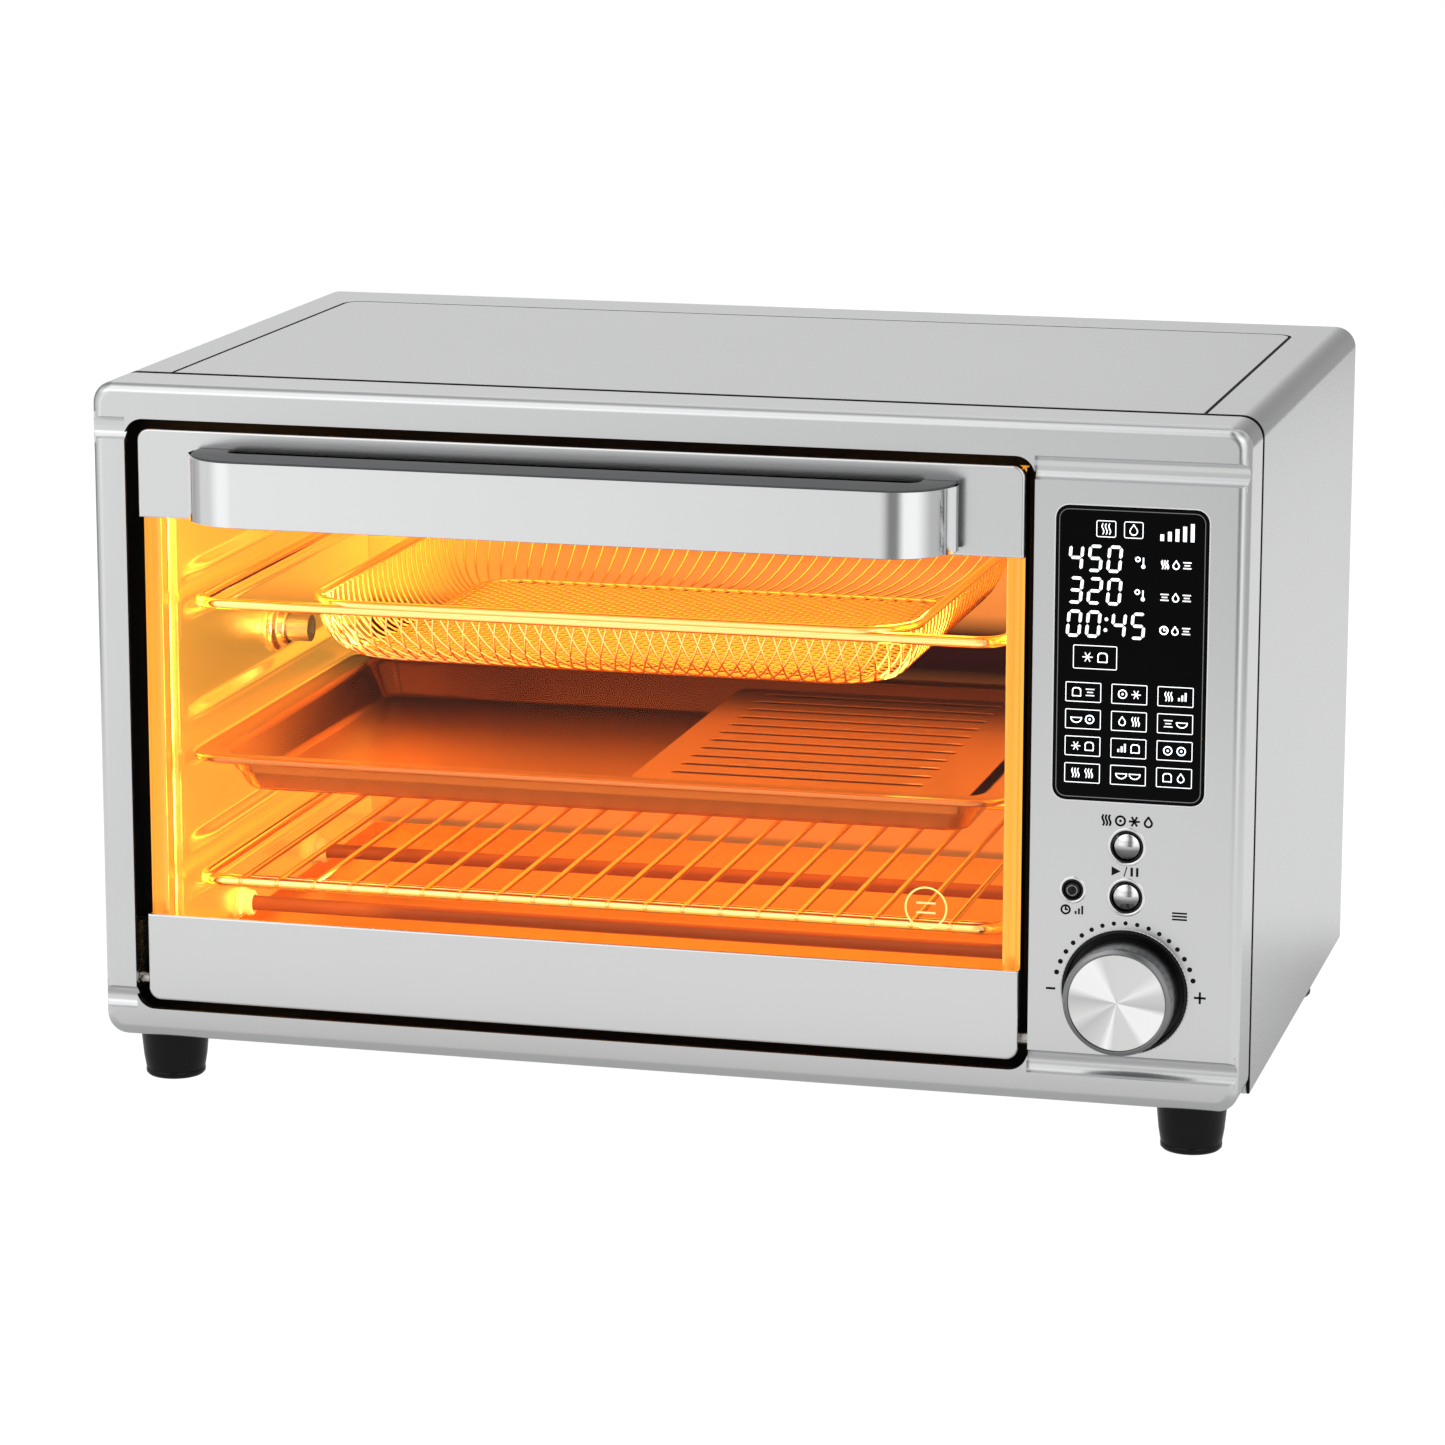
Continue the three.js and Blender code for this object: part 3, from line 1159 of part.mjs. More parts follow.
function handleScrew(x) {
  const head = [DOOR_SHEET + FIT, DOOR_SHEET + FIT + SCREW_HEAD_T];
  const tip = -HANDLE_REACH + HANDLE_BAR - SCREW_BITE;
  const shank = rodY(x, HANDLE_MID_Z, HANDLE_SCREW_R, tip, head[1] - 1, 8);
  return shank.add(rodY(x, HANDLE_MID_Z, SCREW_HEAD_R, ...head, 8));
}

add('handle_grip', handleGrip(), HANDLE_PLASTIC);
add('handle_strip', handleStrip(), SPUN_ALUMINIUM);
add('handle_screw_left', handleScrew(HANDLE_FEET[0]), HARDWARE);
add('handle_screw_right', handleScrew(HANDLE_FEET[1]), HARDWARE);

// ---------------------------------------------------------------- control panel
function displayLens() {
  const shape = roundRect(DISPLAY.x0, DISPLAY.x1, DISPLAY.z0, DISPLAY.z1, DISPLAY_R);
  return frontPlate(shape, FASCIA_WALL - DISPLAY_T, FASCIA_WALL);
}

function knobBezel() {
  const inner = BEZEL_R - BEZEL_WALL;
  const floorY = BEZEL_DEPTH - BEZEL_WALL;
  const hole = SHAFT_R + 1;
  const profile = [
    [BEZEL_R, -BEZEL_PROUD],
    [BEZEL_R, BEZEL_DEPTH],
    [hole, BEZEL_DEPTH],
    [hole, floorY],
    [inner, floorY],
    [inner, -BEZEL_PROUD],
    [BEZEL_R, -BEZEL_PROUD],
  ];
  return turnedY(profile, CONTROL, KNOB_Z, 32);
}

const KNOB_BACK = BEZEL_DEPTH - BEZEL_WALL - BEZEL_PROUD;
const CAP_R = KNOB_R - KNOB_CHAMFER - CAP_GAP;
const SHAFT_FRONT = KNOB_BACK - SHAFT_IN_KNOB;

function controlKnob() {
  const front = -KNOB_REACH;
  const profile = [
    [0, front + KNOB_CAP_T + FIT],
    [CAP_R + FIT, front + KNOB_CAP_T + FIT],
    [CAP_R + FIT, front],
    [KNOB_R - KNOB_CHAMFER, front],
    [KNOB_R, front + KNOB_CHAMFER],
    [KNOB_R, KNOB_BACK],
    [SHAFT_R + FIT, KNOB_BACK],
    [SHAFT_R + FIT, SHAFT_FRONT],
    [0, SHAFT_FRONT],
  ];
  return turnedY(profile, CONTROL, KNOB_Z, 32);
}

function knobCap() {
  return rodY(CONTROL, KNOB_Z, CAP_R, -KNOB_REACH, -KNOB_REACH + KNOB_CAP_T, 32);
}

function encoder() {
  const y0 = BEZEL_DEPTH + FIT;
  const y1 = BOARD_Y - FIT;
  const half = ENCODER_SIZE / 2;
  const block = box(CONTROL - half, CONTROL + half, y0, y1, KNOB_Z - half, KNOB_Z + half);
  const bore = rodY(CONTROL, KNOB_Z, SHAFT_R + FIT, y0 - 1, y1 - 1);
  return block.subtract(bore);
}

function encoderShaft() {
  return rodY(CONTROL, KNOB_Z, SHAFT_R, SHAFT_FRONT + FIT, BOARD_Y - 1 - 2 * FIT);
}

// One moulding behind the fascia, with a collar through the fascia for each button
function buttonGuide() {
  const edge = GUIDE_EDGE;
  const [left, right] = [BUTTONS[2].x - TIMER_COLLAR_R - edge, CONTROL + COLLAR_R + edge];
  const [low, high] = [START_Z - COLLAR_R - edge, FUNCTION_Z + COLLAR_R + edge];
  const shape = roundRect(left, right, low, high, edge);
  let guide = frontPlate(shape, GUIDE_Y, GUIDE_Y + GUIDE_T);
  for (const { x, z, collar } of BUTTONS) {
    guide = guide.add(rodY(x, z, collar, -COLLAR_PROUD, GUIDE_Y + GUIDE_T));
  }
  for (const { x, z, r } of BUTTONS) {
    guide = guide.subtract(rodY(x, z, r + FIT, -1, GUIDE_Y + GUIDE_T + 1));
  }
  return guide;
}

const FLANGE_Y = GUIDE_Y + GUIDE_T + FIT;

function button({ x, z, r }) {
  const rear = FLANGE_Y + BUTTON_FLANGE;
  const profile = [
    [0, -BUTTON_REACH],
    [r - BUTTON_CROWN, -BUTTON_REACH + BUTTON_CROWN / 2],
    [r, -BUTTON_REACH + 2 * BUTTON_CROWN],
    [r, FLANGE_Y],
    [r + BUTTON_FLANGE, FLANGE_Y],
    [r + BUTTON_FLANGE, rear],
    [0, rear],
  ];
  return turnedY(profile, x, z);
}

// Display and key board; a switch stands behind each button
function controlBoard() {
  const [left, right] = [CONTROL - BOARD_W / 2, CONTROL + BOARD_W / 2];
  const low = KNOB_Z - BOARD_BELOW_KNOB;
  const high = DISPLAY.z1 + BOARD_ABOVE_DISPLAY;
  let board = box(left, right, BOARD_Y, BOARD_Y + BOARD_T, low, high);
  const sunk = BOARD_Y + FIT;
  const inset = MODULE_INSET;
  const moduleX = [DISPLAY.x0 + inset, DISPLAY.x1 - inset];
  const moduleZ = [DISPLAY.z0 + inset, DISPLAY.z1 - inset];
  board = board.add(box(...moduleX, FASCIA_WALL + FIT, sunk, ...moduleZ));
  const tip = FLANGE_Y + BUTTON_FLANGE + BUTTON_TRAVEL + FIT;
  for (const { x, z } of BUTTONS) {
    board = board.add(rodY(x, z, SWITCH_R, tip, sunk, 8));
  }
  return board;
}

// What stands on the power board: place from its left front corner, footprint and height
const BOARD_PARTS = [
  { x: 6, y: 10, w: 28, d: 34, h: 26 }, // transformer
  { x: 42, y: 12, w: 18, d: 18, h: 17 }, // relays
  { x: 8, y: 64, w: 20, d: 16, h: 15 },
  { x: 38, y: 60, w: 20, d: 28, h: 19 },
  { x: 10, y: 112, w: 46, d: 10, h: 11 }, // terminal strip
];
const BOARD_FROM_LINER = 14;
const BOARD_FROM_SIDE = 8;
const BOARD_ABOVE_BASE = 4; // above the base pan's flange
const BOARD_LENGTH = 140;
const POST = 4;

function powerBoard() {
  const x0 = LINER.x1 + BOARD_FROM_LINER;
  const x1 = INSIDE_X - SHEET - BOARD_FROM_SIDE;
  const [y0, y1] = [HEATER_YS[1] - BOARD_LENGTH, HEATER_YS[1]];
  const z0 = BASE_FLANGE + BOARD_ABOVE_BASE;
  let board = box(x0, x1, y0, y1, z0, z0 + BOARD_T);
  for (const { x, y, w, d, h } of BOARD_PARTS) {
    const [px, py] = [x0 + x, y0 + y];
    board = board.add(box(px, px + w, py, py + d, z0 + BOARD_T - FIT, z0 + h));
  }
  for (const [x, y] of [[x0 + POST, y0 + POST], [x1 - 2 * POST, y1 - 2 * POST]]) {
    board = board.add(box(x, x + POST, y, y + POST, SHEET + FIT, z0 + FIT));
  }
  return board;
}

add('display_lens', displayLens(), DISPLAY_GLASS);
add('knob_bezel', knobBezel(), BLACK_PLASTIC);
add('control_knob', controlKnob(), GREY_PLASTIC);
add('knob_cap', knobCap(), SPUN_ALUMINIUM);
add('encoder', encoder(), HARDWARE);
add('encoder_shaft', encoderShaft(), HARDWARE);
add('button_guide', buttonGuide(), BLACK_PLASTIC);
for (const key of BUTTONS) {
  add(key.name, button(key), key.name === 'timer_button' ? BLACK_PLASTIC : BUTTON_CHROME);
}
add('control_board', controlBoard(), BOARD_GREEN);
add('power_board', powerBoard(), BOARD_GREEN);

export default oven;
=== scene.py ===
"""Digital toaster oven: its looks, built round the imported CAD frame.

Metres, +Z up, the front faces -Y.  Every place is worked out from the frame's nodes.
"""
import math

import bmesh
import bpy
from mathutils import Matrix, Vector

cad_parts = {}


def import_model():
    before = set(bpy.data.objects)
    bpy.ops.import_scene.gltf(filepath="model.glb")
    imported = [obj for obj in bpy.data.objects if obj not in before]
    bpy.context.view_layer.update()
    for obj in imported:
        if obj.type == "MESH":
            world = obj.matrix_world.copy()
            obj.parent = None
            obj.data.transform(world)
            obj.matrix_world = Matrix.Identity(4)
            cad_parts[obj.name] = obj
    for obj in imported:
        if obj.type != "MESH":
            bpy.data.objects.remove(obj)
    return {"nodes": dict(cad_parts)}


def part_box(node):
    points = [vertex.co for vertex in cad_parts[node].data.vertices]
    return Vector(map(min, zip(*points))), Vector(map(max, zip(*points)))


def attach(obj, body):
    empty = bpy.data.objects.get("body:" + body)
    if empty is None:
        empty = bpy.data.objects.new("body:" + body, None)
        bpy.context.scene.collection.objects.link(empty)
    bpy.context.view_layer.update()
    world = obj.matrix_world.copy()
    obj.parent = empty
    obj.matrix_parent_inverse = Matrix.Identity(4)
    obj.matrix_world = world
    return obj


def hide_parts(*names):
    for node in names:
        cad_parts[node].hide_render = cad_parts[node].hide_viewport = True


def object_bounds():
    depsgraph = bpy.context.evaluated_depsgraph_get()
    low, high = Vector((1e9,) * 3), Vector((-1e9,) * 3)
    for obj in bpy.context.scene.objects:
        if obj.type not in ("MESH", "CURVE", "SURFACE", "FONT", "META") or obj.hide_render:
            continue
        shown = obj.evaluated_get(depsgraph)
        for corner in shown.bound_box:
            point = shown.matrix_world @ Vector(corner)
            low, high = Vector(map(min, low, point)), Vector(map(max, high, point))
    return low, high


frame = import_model()
CAD_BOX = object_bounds()

MM = 0.001
SKIN = 0.3 * MM  # gap that the CAD keeps between two pieces that touch
THINNEST = 0.01 * MM  # smallest radius of a corner or a turned end


def sides(node):
    """x0, x1, y0, y1, z0, z1 of a CAD node at rest."""
    low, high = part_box(node)
    return low.x, high.x, low.y, high.y, low.z, high.z


def middle(node):
    low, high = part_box(node)
    return (low + high) / 2


# ------------------------------------------------------------------ mesh helpers
def make_object(name, points, faces):
    mesh = bpy.data.meshes.new(name)
    mesh.from_pydata([tuple(p) for p in points], [], faces)
    mesh.validate()
    obj = bpy.data.objects.new(name, mesh)
    bpy.context.scene.collection.objects.link(obj)
    return obj


def apply_modifiers(obj):
    graph = bpy.context.evaluated_depsgraph_get()
    mesh = bpy.data.meshes.new_from_object(obj.evaluated_get(graph))
    obj.modifiers.clear()
    obj.data = mesh
    return obj


def face_outwards(obj):
    work = bmesh.new()
    work.from_mesh(obj.data)
    bmesh.ops.remove_doubles(work, verts=work.verts, dist=1e-6)
    bmesh.ops.recalc_face_normals(work, faces=work.faces)
    work.to_mesh(obj.data)
    work.free()
    return obj


def soften(obj, width=0.3 * MM, segments=2, angle=38):
    """Small bevel on hard edges, then smooth shading that keeps the flats flat."""
    if width > 0:
        bevel = obj.modifiers.new("edges", "BEVEL")
        bevel.width = width
        bevel.segments = segments
        bevel.limit_method = "ANGLE"
        bevel.angle_limit = math.radians(angle)
        bevel.harden_normals = False
        apply_modifiers(obj)
    obj.data.shade_smooth()
    obj.data.set_sharp_from_angle(angle=math.radians(angle + 8))
    weighted = obj.modifiers.new("flats", "WEIGHTED_NORMAL")
    weighted.keep_sharp = True
    weighted.weight = 90
    return obj


def combine(first, others, operation, **settings):
    for other in others:
        boolean = first.modifiers.new("cut", "BOOLEAN")
        boolean.operation = operation
        boolean.solver = "EXACT"
        boolean.object = other
        for key, value in settings.items():
            setattr(boolean, key, value)
        apply_modifiers(first)
        bpy.data.objects.remove(other)
    return first


def cut(first, *others):
    return combine(first, others, "DIFFERENCE")


def join(first, *others):
    return combine(first, others, "UNION")


def merge(name, objects):
    """One object from several, without a boolean."""
    work = bmesh.new()
    for obj in objects:
        work.from_mesh(obj.data)
        bpy.data.objects.remove(obj)
    mesh = bpy.data.meshes.new(name)
    work.to_mesh(mesh)
    work.free()
    obj = bpy.data.objects.new(name, mesh)
    bpy.context.scene.collection.objects.link(obj)
    return obj


def arc(u, v, r, start, sweep, steps):
    """Points on a circle about (u, v), with its angles in degrees."""
    angles = [math.radians(start + sweep * k / steps) for k in range(steps + 1)]
    return [(u + r * math.cos(a), v + r * math.sin(a)) for a in angles]


def round_outline(u0, u1, v0, v1, radii, steps=8):
    """Rounded rectangle; radii is one number, or one for each corner from the lower right round."""
    if not isinstance(radii, (tuple, list)):
        radii = (radii,) * 4
    turns = [(u1, v0, -1, 1, -90), (u1, v1, -1, -1, 0), (u0, v1, 1, -1, 90), (u0, v0, 1, 1, 180)]
    points = []
    for (u, v, du, dv, start), radius in zip(turns, radii):
        r = max(radius, THINNEST)
        points += arc(u + du * r, v + dv * r, r, start, 90, steps)
    return points


def grid_faces(rings, count, closed_rings=False):
    faces = []
    for ring in range(rings if closed_rings else rings - 1):
        after = (ring + 1) % rings
        for k in range(count):
            n = (k + 1) % count
            faces.append((ring * count + k, ring * count + n, after * count + n, after * count + k))
    return faces


def loft(name, rings, capped=True):
    """Skin over closed rings of the same number of points."""
    count = len(rings[0])
    faces = grid_faces(len(rings), count, closed_rings=not capped)
    if capped:
        faces.append(tuple(reversed(range(count))))
        last = (len(rings) - 1) * count
        faces.append(tuple(range(last, last + count)))
    return face_outwards(make_object(name, [p for ring in rings for p in ring], faces))


def front_ring(outline, y):
    return [Vector((u, y, v)) for u, v in outline]


def flat_ring(outline, z):
    return [Vector((u, v, z)) for u, v in outline]


def front_block(name, outline, y0, y1):
    return loft(name, [front_ring(outline, y0), front_ring(outline, y1)])


def flat_block(name, outline, z0, z1):
    return loft(name, [flat_ring(outline, z0), flat_ring(outline, z1)])


def box_block(name, x0, x1, y0, y1, z0, z1):
    return front_block(name, [(x0, z0), (x1, z0), (x1, z1), (x0, z1)], y0, y1)


def rolled_rings(x0, x1, y, z0, z1, radii, fillet, steps, corner=8):
    """Rings of a rounded front edge, from the front face at y back to the full outline."""
    rings = []
    for k in range(steps + 1):
        a = math.radians(90 * k / steps)
        edge = fillet * (1 - math.sin(a))
        shrunk = [max(r - edge, 0.3 * MM) for r in radii]
        outline = round_outline(x0 + edge, x1 - edge, z0 + edge, z1 - edge, shrunk, corner)
        rings.append(front_ring(outline, y + fillet * (1 - math.cos(a))))
    return rings


AXES = {
    "X": lambda c, r, a, t: Vector((a, c.y + r * math.cos(t), c.z + r * math.sin(t))),
    "Y": lambda c, r, a, t: Vector((c.x + r * math.sin(t), a, c.z + r * math.cos(t))),
    "Z": lambda c, r, a, t: Vector((c.x + r * math.cos(t), c.y + r * math.sin(t), a)),
}


def turned(name, profile, centre, axis, count=64, hollow=False):
    """Turned piece from (radius, place along the axis); a hollow one's profile closes on itself."""
    point = AXES[axis]
    rings = []
    for radius, along in profile:
        r = max(radius, THINNEST)
        rings.append([point(centre, r, along, 2 * math.pi * k / count) for k in range(count)])
    return loft(name, rings, capped=not hollow)


def tube_mesh(path, radius, closed, count):
    """Points and faces of a round tube along a path."""
    path = [Vector(p) for p in path]
    points = []
    last = None
    total = len(path)
    for i, here in enumerate(path):
        before = path[i - 1] if i or closed else here
        after = path[(i + 1) % total] if closed or i < total - 1 else here
        along = (after - before).normalized()
        if last is None:
            start = Vector((0, 0, 1)) if abs(along.z) < 0.9 else Vector((1, 0, 0))
            last = along.cross(start).normalized()
        side = (last - along * last.dot(along)).normalized()
        up = along.cross(side)
        last = side
        for k in range(count):
            a = 2 * math.pi * k / count
            points.append(here + radius * (math.cos(a) * side + math.sin(a) * up))
    faces = grid_faces(total, count, closed_rings=closed)
    if not closed:
        faces.append(tuple(reversed(range(count))))
        faces.append(tuple(range((total - 1) * count, total * count)))
    return points, faces


def wires(name, runs, count=10):
    """One piece from many wires; each run is (path, radius, closed)."""
    points, faces = [], []
    for path, radius, closed in runs:
        more, quads = tube_mesh(path, radius, closed, count)
        shift = len(points)
        points.extend(more)
        faces.extend(tuple(i + shift for i in face) for face in quads)
    obj = make_object(name, points, faces)
    return face_outwards(obj)


def place(obj, body, slot, material, *nodes, angle=None, width=0.0, segments=2):
    """Gives a piece its body and material, and hides the CAD nodes that it stands for; its slot is not
    used.

    With an angle, its edges are softened first.
    """
    if angle:
        soften(obj, width, segments, angle)
    obj.data.materials.clear()
    obj.data.materials.append(material)
    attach(obj, body)
    if nodes:
        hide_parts(*nodes)
    return obj


def keep_node(node, material, width=0.25 * MM):
    """A CAD node that stays: softer edges and a better material."""
    obj = frame["nodes"][node]
    obj.data.materials.clear()
    obj.data.materials.append(material)
    bevel = obj.modifiers.new("edges", "BEVEL")
    bevel.width = width
    bevel.segments = 2
    bevel.limit_method = "ANGLE"
    bevel.angle_limit = math.radians(40)


# ------------------------------------------------------------------ materials
def node(tree, kind, **settings):
    made = tree.nodes.new(kind)
    for key, value in settings.items():
        setattr(made, key, value)
    return made


def feed(tree, socket, value):
    """Links an output to a socket, or sets the socket's own value."""
    if isinstance(value, bpy.types.NodeSocket):
        tree.links.new(value, socket)
    elif socket.type == "RGBA":
        socket.default_value = (*value, 1)
    else:
        socket.default_value = value


def step(tree, kind, inputs, output=0, **settings):
    """Adds a node, feeds its inputs and returns one of its outputs."""
    made = node(tree, kind, **settings)
    for key, value in inputs.items():
        feed(tree, made.inputs[key], value)
    return made.outputs[output]


def calculate(tree, operation, *values):
    return step(tree, "ShaderNodeMath", dict(enumerate(values)), operation=operation)


def vector(tree, operation, *values, output=0):
    return step(tree, "ShaderNodeVectorMath", dict(enumerate(values)), output, operation=operation)


def coordinates(tree, kind="Object"):
    return step(tree, "ShaderNodeTexCoord", {}, kind)


def parts(tree, source):
    """The X, Y and Z of a vector."""
    split = node(tree, "ShaderNodeSeparateXYZ")
    feed(tree, split.inputs[0], source)
    return split.outputs


def rescale(tree, value, low, high, to_low=0.0, to_high=1.0, kind="LINEAR"):
    inputs = {"Value": value, "From Min": low, "From Max": high, "To Min": to_low, "To Max": to_high}
    return step(tree, "ShaderNodeMapRange", inputs, interpolation_type=kind)


def blend(tree, factor, first, second):
    return step(tree, "ShaderNodeMix", {0: factor, 6: first, 7: second}, 2, data_type="RGBA")


def ramp(tree, factor, stops):
    """Colour or brightness by a factor, from (place, value) stops in rising order."""
    made = node(tree, "ShaderNodeValToRGB")
    elements = made.color_ramp.elements
    elements[0].position = stops[0][0]
    elements[1].position = stops[-1][0]
    for spot, _ in stops[1:-1]:
        elements.new(spot)
    for element, (_, value) in zip(elements, stops):
        element.color = (*value, 1) if isinstance(value, tuple) else (value, value, value, 1)
    feed(tree, made.inputs["Fac"], factor)
    return made.outputs["Color"]


def noise(tree, scale, detail, stretch=(1, 1, 1)):
    """Noise in object space, stretched along the axes."""
    where = step(tree, "ShaderNodeMapping", {"Vector": coordinates(tree), "Scale": stretch})
    return step(tree, "ShaderNodeTexNoise", {"Vector": where, "Scale": scale, "Detail": detail}, "Fac")


def paint(material, sockets):
    """Feeds the shader's sockets; an underscore in a name stands for a space."""
    tree = material.node_tree
    for name, value in sockets.items():
        feed(tree, tree.nodes["Principled BSDF"].inputs[name.replace("_", " ")], value)
    return material


def shade(colour, by):
    return tuple(min(1.0, max(0.0, c * by)) for c in colour)


def surface(name, colour, metallic, roughness, grain=600.0, stretch=(1, 1, 1), bump=0.03,
            tone=0.05, rough_spread=0.05, other=None, **sockets):
    """Principled material with fine grain in its colour, roughness and relief."""
    material = bpy.data.materials.new(name)
    material.use_nodes = True
    tree = material.node_tree
    fine = noise(tree, grain, 3, stretch)
    tint = blend(tree, noise(tree, 9.0, 2), shade(colour, 1 - tone), other or shade(colour, 1 + tone))
    rough = rescale(tree, fine, 0, 1, roughness - rough_spread, roughness + rough_spread)
    relief = step(tree, "ShaderNodeBump", {"Height": fine, "Strength": bump, "Distance": 0.1 * MM})
    paint(material, {"Base Color": tint, "Roughness": rough, "Normal": relief, "Metallic": metallic})
    return paint(material, sockets)


def back_steel_painted_light():
    """Back wall: steel tinted as painted glow, a dark band of painted shade between the tray and the
    basket, and a painted glow on its front.
    """
    material = surface("back_steel_painted_light", (0.8, 0.5, 0.2), 1.0, 0.3, 300, bump=0.04, Emission_Strength=0.25)
    tree = material.node_tree
    _, y, z = parts(tree, coordinates(tree))
    _, _, y0, _, z0, z1 = sides("cavity_back")
    tray = (sides("baking_tray")[5] - z0) / (z1 - z0)
    gap = (sides("fry_basket")[4] - z0) / (z1 - z0) - tray
    # Painted light: the steel colour is the glow's tint, and the dark band is painted shade under the
    # basket.
    steel, painted_dark_band = (0.74, 0.36, 0.09), (0.03, 0.004, 0.004)
    stops = [(0.0, steel), (tray - 0.1, steel), (tray, painted_dark_band), (tray + 0.4 * gap, painted_dark_band),
             (tray + 0.65 * gap, steel), (1.0, steel)]
    colour = ramp(tree, rescale(tree, z, z0, z1), stops)
    # Painted glow: the front face emits its own colour.
    front = rescale(tree, y, y0 + 0.5 * MM, y0 + 0.2 * MM)
    glow = blend(tree, front, (0, 0, 0), colour)
    return paint(material, {"Base Color": colour, "Emission Color": glow})


def tray_coating():
    """Dark non-stick coating, its colour warmed as painted glow and darkest along the rear rim as
    painted shade.
    """
    material = surface("tray_coating", (0.44, 0.18, 0.07), 0.85, 0.22, 900, bump=0.06)
    tree = material.node_tree
    _, _, y0, y1, _, _ = sides("baking_tray")
    deep = y1 - y0
    _, y, _ = parts(tree, coordinates(tree))
    # Painted shade: darker towards the rear rim.
    rear = rescale(tree, y, y0 + 0.55 * deep, y1 - 0.03 * deep, kind="SMOOTHSTEP")
    return paint(material, {"Base Color": blend(tree, rear, (0.46, 0.19, 0.075), (0.05, 0.012, 0.008))})


def button_chrome():
    """Polished dome with a painted reflection: darker over its lower half."""
    material = surface("button_chrome", (0.86, 0.865, 0.87), 1.0, 0.1, 900, bump=0.01,
                       rough_spread=0.02)
    tree = material.node_tree
    # Painted reflection: dark over the lower half of each dome, bright over the upper.
    stops = [(0.0, 0.3), (0.14, 0.16), (0.4, 0.2), (0.5, 0.55), (0.58, 0.9), (1.0, 0.95)]
    _, _, z = parts(tree, coordinates(tree, "Generated"))
    return paint(material, {"Base Color": ramp(tree, z, stops)})


def spun_aluminium():
    """Turned face: fine rings, and painted highlights: light and dark sectors fanning out from the
    centre, which also glow a little as painted light.
    """
    material = surface("spun_aluminium", (0.8, 0.805, 0.81), 1.0, 0.24, 900,
                       Emission_Strength=0.12, Anisotropic=0.7)
    tree = material.node_tree
    shift = vector(tree, "SUBTRACT", coordinates(tree), middle("knob_cap"))
    x, _, z = parts(tree, shift)
    turn = rescale(tree, calculate(tree, "ARCTAN2", z, x), -math.pi, math.pi)
    painted_highlights = ramp(tree, turn, PAINTED_HIGHLIGHT_SECTORS)
    distance = vector(tree, "LENGTH", shift, output="Value")
    rings = calculate(tree, "SINE", calculate(tree, "MULTIPLY", distance, 2 * math.pi / (0.35 * MM)))
    relief = step(tree, "ShaderNodeBump", {"Height": rings, "Strength": 0.06, "Distance": 0.05 * MM})
    tangent = step(tree, "ShaderNodeTangent", {}, direction_type="RADIAL", axis="Y")
    # Painted highlights: the sectors feed both the colour and the emission.
    return paint(material, {"Base Color": painted_highlights, "Emission Color": painted_highlights, "Normal": relief,
                            "Tangent": tangent})


# Painted highlights: brightness round the knob's face, as turns from the left, anticlockwise seen from
# the front
PAINTED_HIGHLIGHT_SECTORS = [
    (0.0, 0.6), (0.07, 0.78), (0.11, 0.58), (0.19, 0.7), (0.215, 1.0), (0.24, 0.7),
    (0.33, 0.74), (0.355, 1.0), (0.465, 1.0), (0.485, 0.58), (0.54, 0.68), (0.575, 0.9),
    (0.62, 0.72), (0.8, 0.7), (0.84, 1.0), (0.95, 1.0), (0.985, 0.58), (1.0, 0.6),
]


# Case and door
STEEL = surface("satin_steel", (0.75, 0.755, 0.76), 1.0, 0.22, 1400, bump=0.015, tone=0.02)
CASE = surface("case_steel", (0.74, 0.745, 0.75), 1.0, 0.27, 1400, bump=0.02, tone=0.02)
DOOR_STEEL = surface("door_steel", (0.8, 0.805, 0.81), 1.0, 0.22, 1400, bump=0.015, tone=0.02)
GRIP = surface("handle_core", (0.075, 0.08, 0.085), 0.0, 0.42, 1200, bump=0.12, tone=0.15)
HANDLE_METAL = surface("handle_metal", (0.9, 0.905, 0.91), 1.0, 0.15, 1400, bump=0.012, tone=0.02)
# Painted highlight: a bright line standing in for the lit bevel round the display window and the knob
# hole.
PAINTED_EDGE_HIGHLIGHT = surface("painted_edge_highlight", (0.93, 0.935, 0.94), 0.0, 0.35, 1500, bump=0.02, tone=0.02)
ENAMEL = surface("black_enamel", (0.006, 0.006, 0.0065), 0.0, 0.5, 700, bump=0.1, tone=0.3,
                 Specular_IOR_Level=0.12)
GLOSS = surface("black_gloss", (0.006, 0.006, 0.007), 0.0, 0.2, 500, tone=0.3, Specular_IOR_Level=0.25)
GLASS = surface("door_glass", (1, 1, 1), 0.0, 0.012, 40, bump=0.0, tone=0.01, rough_spread=0.006,
                Transmission_Weight=1.0, IOR=1.18)
# Painted glow: the stiles stand behind the glass, and their orange colour and emission stand in for the
# glow on them
PAINTED_GLOW_STILE = surface("stile_painted_glow", (0.95, 0.42, 0.08), 1.0, 0.26, 500, (1, 1, 30), 0.05, 0.08,
                Emission_Color=(1.0, 0.46, 0.06), Emission_Strength=0.5)

# Inside the oven: painted glow tints the steel and wire colours orange, and the walls emit it
# Painted glow: orange tint of the cavity steel.
CAVITY = surface("cavity_steel", (0.72, 0.44, 0.16), 1.0, 0.3, 300, bump=0.04, other=(0.8, 0.52, 0.2))
# Painted glow: the walls' orange colour and emission.
PAINTED_GLOW_WALL = surface("wall_painted_glow", (0.85, 0.6, 0.26), 1.0, 0.24, 300, other=(0.9, 0.66, 0.3),
               Emission_Color=(1.0, 0.44, 0.05), Emission_Strength=0.55)
BACK = back_steel_painted_light()
# Painted glow: the wires' golden tint.
CHROME = surface("wire_chrome", (0.95, 0.69, 0.36), 1.0, 0.16, 1500, bump=0.02)
